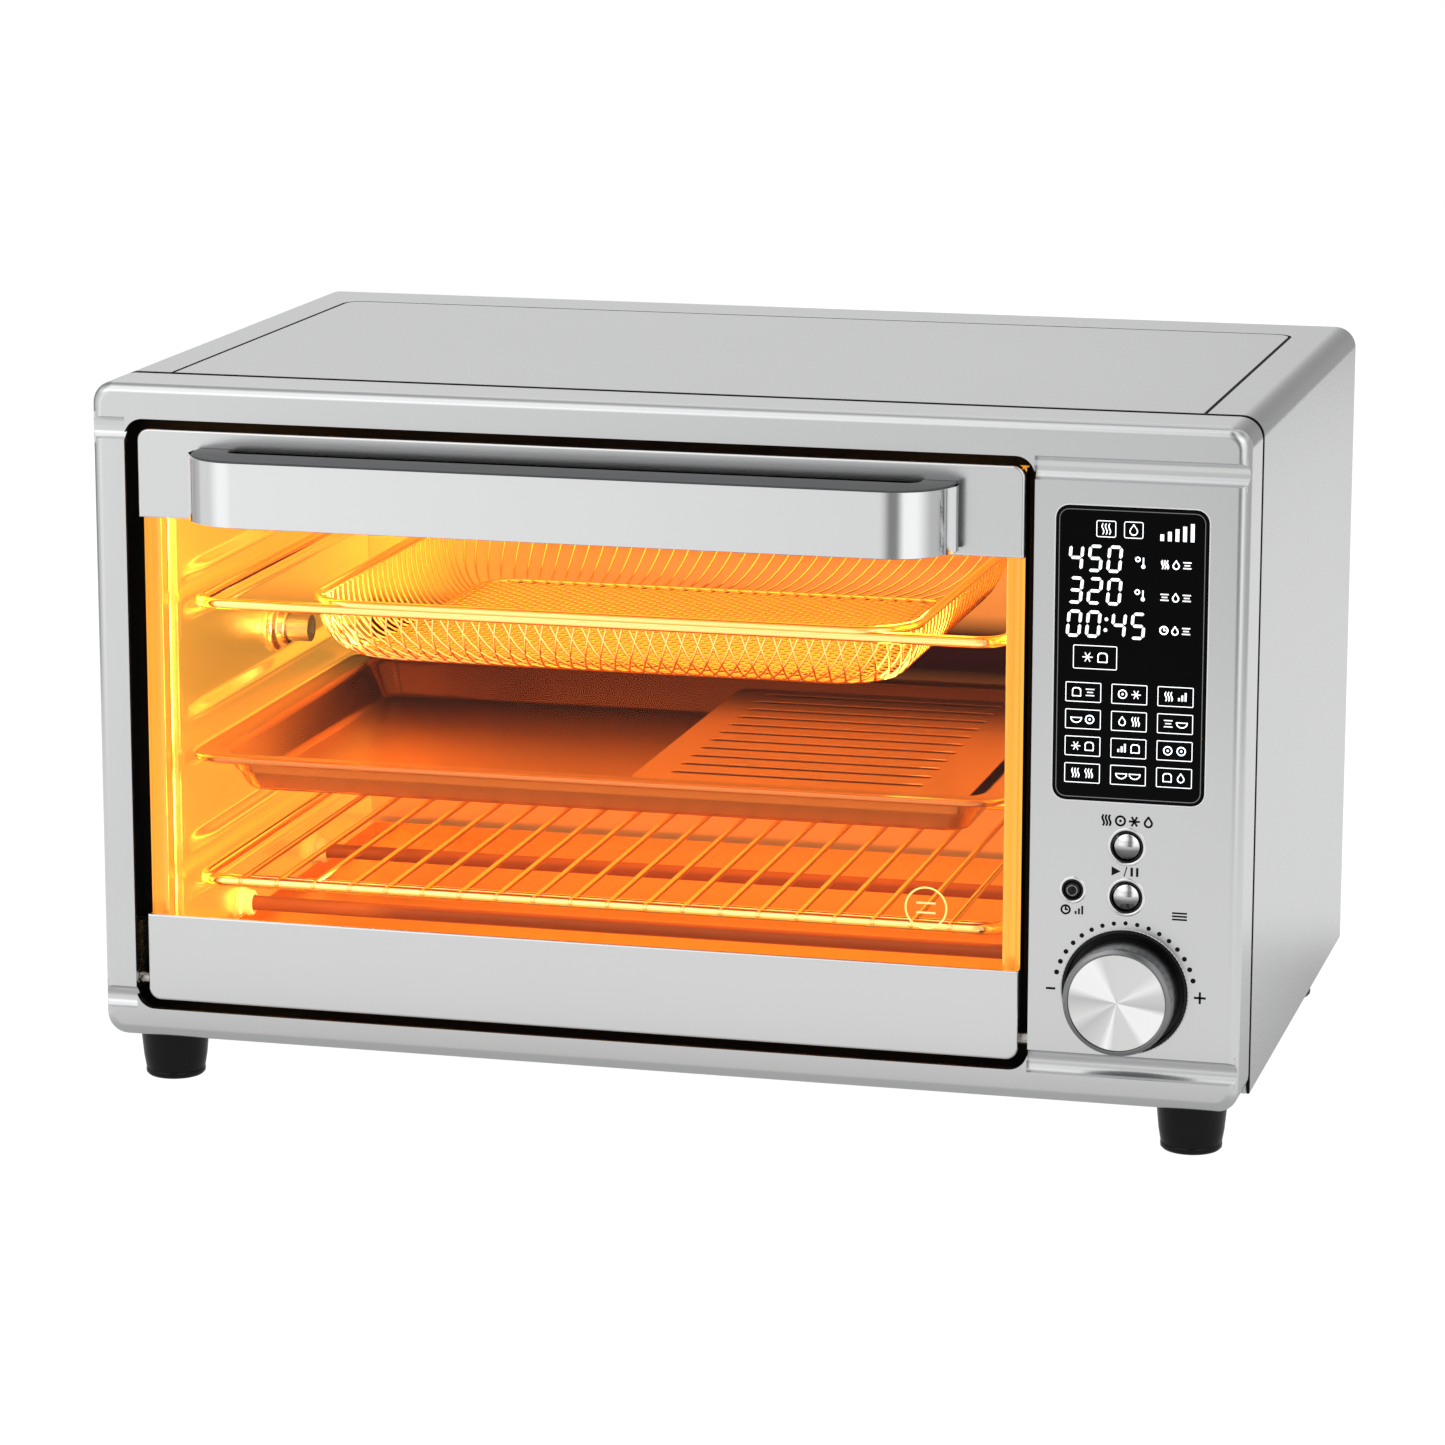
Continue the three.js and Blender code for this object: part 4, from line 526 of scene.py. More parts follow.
# Painted glow and painted shade: a darker copy of the wires' tint for the rack's long wires.
RACK = surface("rack_steel", (0.56, 0.27, 0.09), 1.0, 0.2, 1500, tone=0.12)
COATING = tray_coating()
HOT = surface("heater_hot", (0.5, 0.2, 0.06), 0.3, 0.5, 500, bump=0.1, tone=0.2,
              Emission_Color=(1.0, 0.45, 0.1), Emission_Strength=2.2)
WARM = surface("heater_dark", (0.22, 0.06, 0.02), 0.5, 0.4, 500, bump=0.1, tone=0.2,
               Emission_Color=(1.0, 0.16, 0.02), Emission_Strength=0.12)
CERAMIC = surface("ceramic", (0.8, 0.74, 0.62), 0.0, 0.55, 700, bump=0.15)
PLATED = surface("plated", (0.62, 0.6, 0.56), 1.0, 0.28, 700, bump=0.05)
MOTOR = surface("motor_steel", (0.42, 0.43, 0.44), 0.9, 0.4, 500, bump=0.1, tone=0.1)
BOARD = surface("board_green", (0.02, 0.12, 0.05), 0.0, 0.4, 400, bump=0.2, tone=0.3)

# Controls
KNOB = surface("knob_grey", (0.27, 0.275, 0.28), 1.0, 0.24, 500, (1, 20, 1), 0.04)
SPUN = spun_aluminium()
PAINTED_REFLECTION_BUTTON = button_chrome()
TRIM = surface("trim_chrome", (0.9, 0.905, 0.91), 1.0, 0.12, 900, bump=0.01, rough_spread=0.02)
SCREEN = surface("display_black", (0.001, 0.001, 0.0012), 0.0, 0.09, 60, bump=0.0, tone=0.3,
                 rough_spread=0.02, Specular_IOR_Level=0.06)
LIT = surface("display_light", (0.9, 0.92, 0.93), 0.0, 0.5, 900, bump=0.0,
              Emission_Color=(0.93, 0.97, 1.0), Emission_Strength=0.9)
PRINT = surface("panel_print", (0.008, 0.008, 0.009), 0.0, 0.6, 1500, bump=0.05, tone=0.2,
                Specular_IOR_Level=0.1)
# Painted glow: the print's warm colour and emission stand in for the oven's glow behind it.
GLASS_PRINT = surface("glass_print", (0.95, 0.8, 0.35), 0.0, 0.5, 1500, bump=0.0,
                      Emission_Color=(1.0, 0.75, 0.25), Emission_Strength=0.45)


# ------------------------------------------------------------------ fascia
FX0, FX1, FY0, FY1, FZ0, FZ1 = sides("front_fascia")
CASE_R = 9 * MM
FASCIA_WALL = 2.2 * MM
FASCIA_FILLET = 5 * MM
# Painted shade: the lip is black so the seam behind the fascia reads dark.
LIP_W, LIP_STEP = 2.6 * MM, 0.9 * MM  # black lip behind the fascia, set in from its sides
OPENING_R = 8 * MM
OPEN_X0, OPEN_X1 = FX0 + 14.5 * MM, FX1 - 85.2 * MM
OPEN_Z0, OPEN_Z1 = FZ0 + 12.5 * MM, FZ1 - 14.5 * MM
FLUTE_H = 9.5 * MM
FLUTE_DEEP = 3 * MM
FLUTE_LAP = 0.5 * MM
BUTTON_NODES = ("function_button", "start_button", "timer_button")
COLLAR_RADII = {"function_button": 7.1 * MM, "start_button": 7.1 * MM, "timer_button": 4.8 * MM}


def fascia_outline(inset):
    return round_outline(FX0 + inset, FX1 - inset, FZ0 + inset, FZ1 - inset, CASE_R - inset)


def fillet_block(name, inset, front, fillet, back, lip=0.0):
    """The fascia's outline between two depths, with a rounded front edge and a lip behind."""
    sizes = (FX0 + inset, FX1 - inset, front, FZ0 + inset, FZ1 - inset, (CASE_R - inset,) * 4)
    rings = rolled_rings(*sizes, fillet, 8)
    rings.append(front_ring(fascia_outline(inset), back - lip))
    if lip:
        for y in (back - lip, back):
            rings.append(front_ring(fascia_outline(inset + LIP_STEP), y))
    return loft(name, rings)


def flute_rod(name, z, x0, x1, radius, centre_y):
    return turned(name, [(radius, x0), (radius, x1)], Vector((0, centre_y, z)), "X", 96)


def fascia_shell():
    shell = fillet_block("fascia_shell", 0, FY0, FASCIA_FILLET, FY1, LIP_W)
    hollow = fillet_block(
        "hollow", FASCIA_WALL, FY0 + FASCIA_WALL, FASCIA_FILLET - FASCIA_WALL, FY1 + 5 * MM
    )
    cut(shell, hollow)
    radius = (FLUTE_H ** 2 / 4 + FLUTE_DEEP ** 2) / (2 * FLUTE_DEEP)
    centre_y = FY0 + FLUTE_DEEP - radius
    heights = [OPEN_Z0 + FLUTE_H / 2 - FLUTE_LAP, OPEN_Z1 - FLUTE_H / 2 + FLUTE_LAP]
    wall = FASCIA_WALL / 2
    lap = 12 * MM
    runs = [(FX0 + wall, OPEN_X0 + lap, FX0 - 20 * MM), (OPEN_X1 - lap, FX1 - wall, FX1 + 20 * MM)]
    for z in heights:
        for x0, x1, _ in runs:
            backing = (FY0 + wall, FY0 + FLUTE_DEEP + 1.2 * MM)
            join(shell, box_block("backing", x0, x1, *backing, z - 6.5 * MM, z + 6.5 * MM))
        left = (runs[0][2], OPEN_X0 + SKIN)
        right = (OPEN_X1 - SKIN, runs[1][2])
        cut(shell, flute_rod("left", z, *left, radius, centre_y))
        cut(shell, flute_rod("right", z, *right, radius, centre_y))
    cut_fascia_openings(shell)
    place(shell, "case", "satin_steel", STEEL, "front_fascia", angle=30, width=0.5 * MM, segments=3)
    # Painted shade: the lip and its step turn black in the seam.
    blacken(shell, lambda point: point.y > FY1 - LIP_W - 0.1 * MM)
    return shell


def blacken(obj, inside):
    """Black on the faces whose points all lie inside the given region; in the seam this is painted
    shade.
    """
    obj.data.materials.append(ENAMEL)
    points = obj.data.vertices
    for face in obj.data.polygons:
        if all(inside(points[k].co) for k in face.vertices):
            face.material_index = len(obj.data.materials) - 1


def cut_fascia_openings(shell):
    through = (FY0 - 5 * MM, FY1 + 5 * MM)
    opening = round_outline(OPEN_X0, OPEN_X1, OPEN_Z0, OPEN_Z1, OPENING_R, 12)
    x0, x1, _, _, z0, z1 = sides("display_lens")
    edge = SKIN
    window = round_outline(x0 - edge, x1 + edge, z0 - edge, z1 + edge, 5.3 * MM, 12)
    cut(shell, front_block("opening", opening, *through), front_block("window", window, *through))
    bx0, bx1, _, _, _, _ = sides("knob_bezel")
    radius = (bx1 - bx0) / 2 + SKIN
    depth = [(radius, through[0]), (radius, through[1])]
    cut(shell, turned("knob_hole", depth, middle("knob_bezel"), "Y", 96))
    for name in BUTTON_NODES:
        radius = COLLAR_RADII[name] + SKIN
        depth = [(radius, through[0]), (radius, through[1])]
        cut(shell, turned("hole", depth, middle(name), "Y", 48))


# ------------------------------------------------------------------ wrap, base, feet
WRAP_SHEET = 1.2 * MM
GROOVE_R = 0.75 * MM
GROOVE_INSET, GROOVE_REAR = 23.7 * MM, 30.7 * MM
# Painted shade: the wrap's edge in the seam is black so the seam reads dark.
SEAM_W = 1.3 * MM  # black edge of the wrap, in the seam with the fascia


def wrap_outline(inset):
    x0, x1, _, _, z0, z1 = sides("outer_wrap")
    r = CASE_R - inset
    left, right, top = x0 + inset, x1 - inset, z1 - inset
    corners = arc(right - r, top - r, r, 0, 90, 12) + arc(left + r, top - r, r, 90, 90, 12)
    return [(right, z0)] + corners + [(left, z0)]


def case_wrap():
    """Folded top and sides, with a pressed line round the top."""
    x0, x1, y0, y1, _, z1 = sides("outer_wrap")
    outline = wrap_outline(0) + list(reversed(wrap_outline(WRAP_SHEET)))
    wrap = loft("case_wrap", [front_ring(outline, y) for y in (y0, y0 + SEAM_W, y1)])
    left, right, rear = x0 + GROOVE_INSET, x1 - GROOVE_INSET, y1 - GROOVE_REAR
    turn = 8 * MM
    path = [(left, y0 - 5 * MM)] + arc(left + turn, rear - turn, turn, 180, -90, 8)
    path += arc(right - turn, rear - turn, turn, 90, -90, 8) + [(right, y0 - 5 * MM)]
    groove = wires("groove", [(flat_ring(path, z1), GROOVE_R, False)], 12)
    # Painted shade: the groove's faces take the black enamel.
    groove.data.materials.append(ENAMEL)
    wrap.data.materials.append(CASE)
    combine(wrap, [groove], "DIFFERENCE", material_mode="TRANSFER")
    soften(wrap, 0.15 * MM, 2, 32)
    # Painted shade: the wrap's front edge in the seam turns black.
    blacken(wrap, lambda point: point.y < y0 + SEAM_W + 0.05 * MM)
    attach(wrap, "case")
    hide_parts("outer_wrap")
    return wrap


def foot(name):
    x0, x1, _, _, z0, z1 = sides(name)
    top = (x1 - x0) / 2
    low = top - 2.5 * MM
    height = z1 - z0
    lip = 1.6 * MM
    profile = [
        (0, z0), (low - 2.2 * MM, z0), (low - 0.9 * MM, z0 + 0.3 * MM), (low, z0 + 1.2 * MM),
        (low + 0.1 * MM, z0 + 2.6 * MM), (low - 0.3 * MM, z0 + 3 * MM), (low, z0 + 3.5 * MM),
        (low + 0.35 * (top - low), z0 + 0.4 * height), (top - 0.6 * MM, z1 - 2.4 * MM),
        (top, z1 - lip), (top, z1 - 0.4 * MM), (top - 0.4 * MM, z1), (0, z1),
    ]
    piece = turned(f"{name}_moulding", profile, middle(name), "Z", 72)
    return place(piece, "case", "black_gloss_plastic", GLOSS, name, angle=50)


# ------------------------------------------------------------------ cavity
RAIL_H = 7 * MM
WALL_ROW_H = 1.1 * MM  # the side walls' mesh: height of a row
WALL_COLUMNS = 78
RAIL_DEEP = 4.8 * MM


def rail_bands():
    rack_z = middle("lower_rack").z
    basket_z = middle("basket_frame").z
    tray_z = sides("baking_tray")[5]
    under = [rack_z - 2.8 * MM, tray_z - 1.5 * MM, basket_z - 2.8 * MM]
    over = [rack_z + 10.5 * MM, tray_z + 11 * MM, basket_z + 8 * MM]
    return [(z - RAIL_H, z) for z in under] + [(z, z + RAIL_H) for z in over]


def ease(t):
    t = min(1.0, max(0.0, t))
    return t * t * (3 - 2 * t)


def rail_height(z, y, y0, y1, bands):
    slope = 2.6 * MM
    front_end, rear_end = 26 * MM, 12 * MM
    fade = ease((y - y0 - 14 * MM) / front_end) * ease((y1 - 4 * MM - y) / rear_end)
    best = 0.0
    for low, high in bands:
        best = max(best, ease((z - low + 0.6 * MM) / slope) * ease((high - z) / slope))
    return best * fade


def edge_bead(depth):
    """Two small upright beads just inside the wall's front edge."""
    lift = 0.0
    for centre, half, height in ((3.2, 2.2, 1.5), (9.5, 3.0, 1.0)):
        t = (depth / MM - centre) / half
        if abs(t) < 1:
            lift += height * MM * (0.5 + 0.5 * math.cos(math.pi * t))
    return lift


def cavity_wall(node_name, inward):
    """Pressed side wall: a sheet with smooth rails that carry the racks."""
    x0, x1, y0, y1, z0, z1 = sides(node_name)
    sheet = 1 * MM
    face = x0 + sheet if inward > 0 else x1 - sheet
    bands = rail_bands()
    rows = int((z1 - z0) / WALL_ROW_H)
    columns = WALL_COLUMNS
    front, back = [], []
    for i in range(rows + 1):
        z = z0 + (z1 - z0) * i / rows
        for k in range(columns + 1):
            t = k / columns
            y = y0 + (y1 - y0) * t ** 1.35
            lift = RAIL_DEEP * rail_height(z, y, y0, y1, bands) + edge_bead(y - y0)
            front.append(Vector((face + inward * lift, y, z)))
            back.append(Vector((face + inward * (lift - sheet), y, z)))
    points = front + back
    width, offset = columns + 1, len(front)
    faces = []
    for i in range(rows):
        for k in range(columns):
            a = i * width + k
            faces.append((a, a + 1, a + width + 1, a + width))
            b = a + offset
            faces.append((b, b + width, b + width + 1, b + 1))
    border = [k for k in range(width)]
    border += [i * width + columns for i in range(1, rows + 1)]
    border += [rows * width + k for k in range(columns - 1, -1, -1)]
    border += [i * width for i in range(rows - 1, 0, -1)]
    for a, b in zip(border, border[1:] + border[:1]):
        faces.append((a, b, b + offset, a + offset))
    wall = face_outwards(make_object(f"{node_name}_pressing", points, faces))
    place(wall, "case", "cavity_steel", PAINTED_GLOW_WALL, node_name, angle=60)
    wall.data.materials.append(PLATED)
    for face in wall.data.polygons:
        if face.normal.x * inward < -0.1:
            face.material_index = 1
    return wall


def heater(name, material):
    x0, x1, _, _, _, _ = sides(name)
    centre = middle(name)
    radius = 3.2 * MM
    end = 1.2 * MM
    profile = [(0, x0), (radius - end, x0), (radius, x0 + end)]
    profile += [(radius, x1 - end), (radius - end, x1), (0, x1)]
    rod = turned(f"{name}_tube", profile, centre, "X", 32)
    place(rod, "case", "heater_sheath", material, name, angle=50)
    ends = []
    left = sides("cavity_left_wall")[0] + MM
    right = sides("cavity_right_wall")[1] - MM
    for face, out in ((left, 1), (right, -1)):
        ring = [(3.6, 0.1), (8, 0.1), (8, 1.6), (6, 2.4), (5.6, 5.5), (4.8, 6.2), (3.6, 6.2),
                (3.6, 0.1)]
        profile = [(r * MM, face + out * a * MM) for r, a in ring[:-1]]
        ends.append(turned("bush", profile, centre, "X", 32, hollow=True))
    bushes = merge(f"{name}_bushes", ends)
    place(bushes, "case", "heater_sheath", CERAMIC, angle=45)


def spit_boss():
    """Flanged socket of the rotisserie drive on the left wall."""
    x0, x1, _, _, _, _ = sides("spit_socket")
    centre = middle("spit_socket")
    wall = sides("cavity_left_wall")[0] + MM
    bore, barrel, flange = 6.3 * MM, 8 * MM, 11 * MM
    profile = [
        (bore, x0), (barrel, x0), (barrel, wall + SKIN), (flange, wall + SKIN),
        (flange, wall + 1.6 * MM), (flange - 0.8 * MM, wall + 2.4 * MM),
        (barrel + 0.6 * MM, wall + 2.8 * MM), (barrel, wall + 3.6 * MM),
        (barrel, x1 - 0.8 * MM), (barrel - 0.8 * MM, x1), (bore, x1),
    ]
    boss = turned("spit_boss", profile, centre, "X", 48, hollow=True)
    place(boss, "case", "plated_hardware", PLATED, "spit_socket", angle=40)


# ------------------------------------------------------------------ racks
RACK_R = 14 * MM
WIRE_R = 2.4 * MM


def wire_rack():
    x0, x1, y0, y1, z0, z1 = sides("lower_rack")
    z = (z0 + z1) / 2
    inset = WIRE_R + 0.1 * MM
    outline = round_outline(x0 + inset, x1 - inset, y0 + inset, y1 - inset, RACK_R - inset, 8)
    runs = [(flat_ring(outline, z), WIRE_R, True)]
    runs.append(([(x0 + 8 * MM, y0 + 10 * MM, z), (x1 - 8 * MM, y0 + 10 * MM, z)], 1.4 * MM, False))
    pitch = 16.05 * MM
    count = 20
    first = (x0 + x1 - (count - 1) * pitch) / 2
    balls = []
    rungs = []
    for i in range(count):
        x = first + i * pitch
        path = [(x, y0 + 0.6 * MM, z + 1.1 * MM), (x, y0 + 5 * MM, z + 1.2 * MM)]
        path += [(x, y1 - 5 * MM, z + 1.2 * MM), (x, y1 - 0.6 * MM, z + 1.1 * MM)]
        rungs.append((path, 1.25 * MM, False))
        balls.append(Vector((x, y0 + 1.9 * MM, z + 0.4 * MM)))
    rack = wires("wire_rack", runs, 12)
    place(rack, "rack", "wire_chrome", CHROME, "lower_rack", angle=60)
    long_wires = wires("rack_wires", rungs, 10)
    place(long_wires, "rack", "wire_chrome", RACK, angle=60)
    ends = []
    radius = 2.1 * MM
    for spot in balls:
        profile = []
        for k in range(9):
            a = math.pi * k / 8
            profile.append((radius * math.sin(a), spot.z - 0.9 * radius * math.cos(a)))
        ends.append(turned("ball", profile, spot, "Z", 16))
    welds = merge("rack_welds", ends)
    place(welds, "rack", "wire_chrome", CHROME, angle=60)


def basket_carrier():
    x0, x1, y0, y1, z0, z1 = sides("basket_frame")
    z = (z0 + z1) / 2
    inset = WIRE_R + 0.1 * MM
    outline = round_outline(x0 + inset, x1 - inset, y0 + inset, y1 - inset, RACK_R - inset, 8)
    loop = wires("basket_carrier", [(flat_ring(outline, z), WIRE_R, True)], 14)
    place(loop, "basket", "wire_chrome", CHROME, "basket_frame", angle=60)


def along_outline(outline, share):
    """Point at a share of the way round a closed outline, by length."""
    lengths = []
    total = 0.0
    for (u0, v0), (u1, v1) in zip(outline, outline[1:] + outline[:1]):
        lengths.append(math.hypot(u1 - u0, v1 - v0))
        total += lengths[-1]
    goal = (share % 1.0) * total
    for k, length in enumerate(lengths):
        if goal <= length:
            (u0, v0), (u1, v1) = outline[k], outline[(k + 1) % len(outline)]
            t = goal / max(length, 1e-9)
            return u0 + (u1 - u0) * t, v0 + (v1 - v0) * t
        goal -= length
    return outline[0]


BASKET_FLARE = 17 * MM
BASKET_R = 26 * MM
MESH_WIRES = 136  # wires round the basket's walls, each way
FLOOR_PITCH = 6.4 * MM


def basket_outlines():
    x0, x1, y0, y1, z0, z1 = sides("fry_basket")
    rim = 2 * MM
    top = round_outline(x0 + rim, x1 - rim, y0 + rim, y1 - rim, BASKET_R - rim, 12)
    side = 4 * MM + BASKET_FLARE
    ends = 22.6 * MM
    base = (x0 + side, x1 - side, y0 + ends, y1 - ends)
    low = round_outline(*base, BASKET_R - 8 * MM, 12)
    return top, low, base, z0, z1


def inside_round(x, y, base, r):
    x0, x1, y0, y1 = base
    if not (x0 <= x <= x1 and y0 <= y <= y1):
        return False
    cx = min(max(x, x0 + r), x1 - r)
    cy = min(max(y, y0 + r), y1 - r)
    return math.hypot(x - cx, y - cy) <= r


def floor_wires(base, z, r):
    """Diagonal wires both ways across the basket's floor."""
    x0, x1, y0, y1 = base
    span = (x1 - x0) + (y1 - y0)
    runs = []
    for lean in (1, -1):
        for k in range(int(span / FLOOR_PITCH)):
            offset = (k + 0.5) * FLOOR_PITCH
            inside = []
            steps = 160
            for i in range(steps + 1):
                y = y0 + (y1 - y0) * i / steps
                x = x0 + offset - (y - y0) if lean > 0 else x0 + offset - (y1 - y)
                if inside_round(x, y, base, r):
                    inside.append((x, y, z + lean * 0.3 * MM))
            if len(inside) > 3:
                runs.append(([inside[0], inside[-1]], 0.42 * MM, False))
    return runs


def basket_mesh():
    """Woven basket: a rim wire, a foot wire, and crossed wires in its walls and floor."""
    top, low, base, z0, z1 = basket_outlines()
    rim_z = z1 - 2 * MM
    foot_z = z0 + 1.1 * MM
    runs = [(flat_ring(top, rim_z), 2 * MM, True), (flat_ring(low, foot_z), 1.0 * MM, True)]
    shift = 2.0 / MESH_WIRES
    for i in range(MESH_WIRES):
        share = i / MESH_WIRES
        for lean in (1, -1):
            if lean < 0 and along_outline(low, share)[1] > base[2] + BASKET_R:
                continue
            path = []
            for level in range(9):
                down = level / 8
                inward = 1 - math.cos(math.radians(90 * down))
                u0, v0 = along_outline(top, share + lean * shift * down)
                u1, v1 = along_outline(low, share + lean * shift * down)
                z = rim_z - (rim_z - foot_z) * math.sin(math.radians(90 * down))
                path.append((u0 + (u1 - u0) * inward, v0 + (v1 - v0) * inward, z))
            runs.append((path, 0.52 * MM, False))
    runs += floor_wires(base, foot_z, BASKET_R - 8 * MM)
    basket = wires("mesh_basket", runs, 6)
    place(basket, "basket", "wire_chrome", CHROME, "fry_basket", angle=60)


# ------------------------------------------------------------------ baking tray
TRAY_R = 16 * MM


def tray_pan():
    x0, x1, y0, y1, z0, z1 = sides("baking_tray")
    t = 1.2 * MM
    rim, flare = 11 * MM, 8 * MM

    def ring(inset, z):
        radius = max(TRAY_R - 0.35 * inset, 6 * MM)
        outline = round_outline(x0 + inset, x1 - inset, y0 + inset, y1 - inset, radius, 10)
        return flat_ring(outline, z)

    floor = rim + flare
    rings = [
        ring(floor + 4 * MM, z0 + 0.1 * MM), ring(floor + 1 * MM, z0 + 0.4 * MM),
        ring(floor - 0.3 * MM, z0 + 1.8 * MM), ring(floor - 3.4 * MM, z0 + 8 * MM),
        ring(floor - 4.6 * MM, z0 + 9 * MM), ring(rim + 1.4 * MM, z1 - 2.4 * MM),
        ring(rim - 0.6 * MM, z1 - 1.4 * MM), ring(2.4 * MM, z1 - 1.4 * MM),
        ring(1.9 * MM, z1 - 2.6 * MM), ring(0.9 * MM, z1 - 2.9 * MM),
        ring(0.1 * MM, z1 - 2.1 * MM), ring(0.1 * MM, z1 - 0.9 * MM),
        ring(0.9 * MM, z1 - 0.1 * MM), ring(2.2 * MM, z1 - 0.1 * MM),
        ring(3.2 * MM, z1 - 0.6 * MM), ring(rim - 1 * MM, z1 - 0.6 * MM),
        ring(rim + 0.8 * MM, z1 - 1.2 * MM), ring(rim + 2.2 * MM, z1 - 3 * MM),
        ring(floor - 0.6 * MM, z0 + 3.4 * MM), ring(floor + 1.6 * MM, z0 + t + 0.6 * MM),
        ring(floor + 4.4 * MM, z0 + t),
    ]
    pan = loft("tray_pan", rings)
    return place(pan, "tray", "tray_coating", COATING, "baking_tray", angle=55)


def grill_insert():
    """Ribbed grill plate that covers the right part of the tray."""
    x0, x1, y0, y1, z0, z1 = sides("grill_plate")
    t = 1.2 * MM
    plate = flat_block("grill_insert", round_outline(x0, x1, y0, y1, 5 * MM, 6), z1 - t, z1)
    cutters = []
    pitch = 16 * MM
    slot = 2.2 * MM
    y = y0 + pitch
    while y < y1 - 6 * MM:
        outline = round_outline(x0 + 14 * MM, x1 - 22 * MM, y - slot, y + slot, slot - 0.1 * MM, 6)
        cutters.append(flat_block("slot", outline, z1 - 3 * MM, z1 + MM))
        y += pitch
    cut(plate, merge("slots", cutters))
    soften(plate, 0.3 * MM, 2, 35)
    lip = flat_block("lip", round_outline(x0, x0 + t, y0, y1, 0.3 * MM, 2), z0, z1 - t)
    far = flat_block("lip", round_outline(x1 - 16 * MM, x1 - 16 * MM + t, y0 + TRAY_R, y1 - TRAY_R,
                                          0.3 * MM, 2), z0, z1 - t)
    whole = merge("grill_insert_plate", [apply_modifiers(plate), lip, far])
    return place(whole, "tray", "tray_coating", COATING, "grill_plate", angle=35)


# ------------------------------------------------------------------ door
DOOR_R = 5 * MM
DOOR_SHEET = 1.4 * MM


def door_band(name, node_name, radii, open_side, slot_material):
    """Folded steel band: rounded front edges, returns towards the glass side left open."""
    x0, x1, y0, y1, z0, z1 = sides(node_name)
    rings = rolled_rings(x0, x1, y0, z0, z1, radii, 1.1 * MM, 5)
    rings.append(front_ring(round_outline(x0, x1, z0, z1, radii, 8), y1))
    band = loft(name, rings)
    t = DOOR_SHEET
    low = z0 - 5 * MM if open_side == "low" else z0 + t
    high = z1 + 5 * MM if open_side == "high" else z1 - t
    cut(band, box_block("room", x0 + t, x1 - t, y0 + t, y1 + 5 * MM, low, high))
    return place(band, "door", "satin_steel", slot_material, node_name, angle=35, width=0.2 * MM)


def glass_pane():
    x0, x1, y0, y1, z0, z1 = sides("door_glass")
    outline = round_outline(x0, x1, z0, z1, 1.5 * MM, 4)
    pane = front_block("glass_pane", outline, y0, y1)
    return place(pane, "door", "door_glass", GLASS, "door_glass", angle=35, width=0.4 * MM)


def stile(node_name):
    x0, x1, y0, y1, z0, z1 = sides(node_name)
    t = DOOR_SHEET
    outline = round_outline(x0, x1, z0, z1, 1 * MM, 4)
    channel = front_block(f"{node_name}_channel", outline, y0, y1)
    cut(channel, box_block("room", x0 + t, x1 - t, y0 - MM, y1 - t, z0 - MM, z1 + MM))
    place(channel, "door", "satin_steel", PAINTED_GLOW_STILE, node_name, angle=35, width=0.3 * MM)
    outer = x0 if x0 < middle("door_glass").x else x1
    blacken(channel, lambda point: abs(point.x - outer) < 0.35 * MM)
    return channel


# ------------------------------------------------------------------ handle
HANDLE_R = 26 * MM


def handle_arc(x0, x1, front, r, steps=14):
    """Plan of the handle's front: left end, front face, right end."""
    centre = front + r
    return arc(x0 + r, centre, r, 180, 90, steps) + arc(x1 - r, centre, r, 270, 90, steps)


def handle_grip():
    x0, x1, y0, y1, z0, z1 = sides("handle_grip")
    bar = sides("handle_strip")[3]
    foot_w, inner = 14.5 * MM, 5 * MM
    left, right = x0 + foot_w, x1 - foot_w
    outline = [(x0, y1)] + handle_arc(x0, x1, y0, HANDLE_R - 1.5 * MM) + [(x1, y1), (right, y1)]
    outline += arc(right - inner, bar + inner, inner, 0, -90, 6)
    outline += arc(left + inner, bar + inner, inner, -90, -90, 6)
    outline.append((left, y1))
    grip = flat_block("handle_core", outline, z0, z1)
    return place(grip, "door", "handle_plastic", GRIP, "handle_grip", angle=40,
                 width=0.9 * MM, segments=3)


def handle_strip():
    x0, x1, y0, y1, z0, z1 = sides("handle_strip")
    t = 1.2 * MM
    outer = [(x0, y1)] + handle_arc(x0, x1, y0, HANDLE_R, 18) + [(x1, y1)]
    inner = [(x0 + t, y1)] + handle_arc(x0 + t, x1 - t, y0 + t, HANDLE_R - t, 18) + [(x1 - t, y1)]
    strip = flat_block("handle_trim", outer + list(reversed(inner)), z0, z1)
    return place(strip, "door", "handle_steel", HANDLE_METAL, "handle_strip", angle=40,
                 width=0.35 * MM, segments=3)


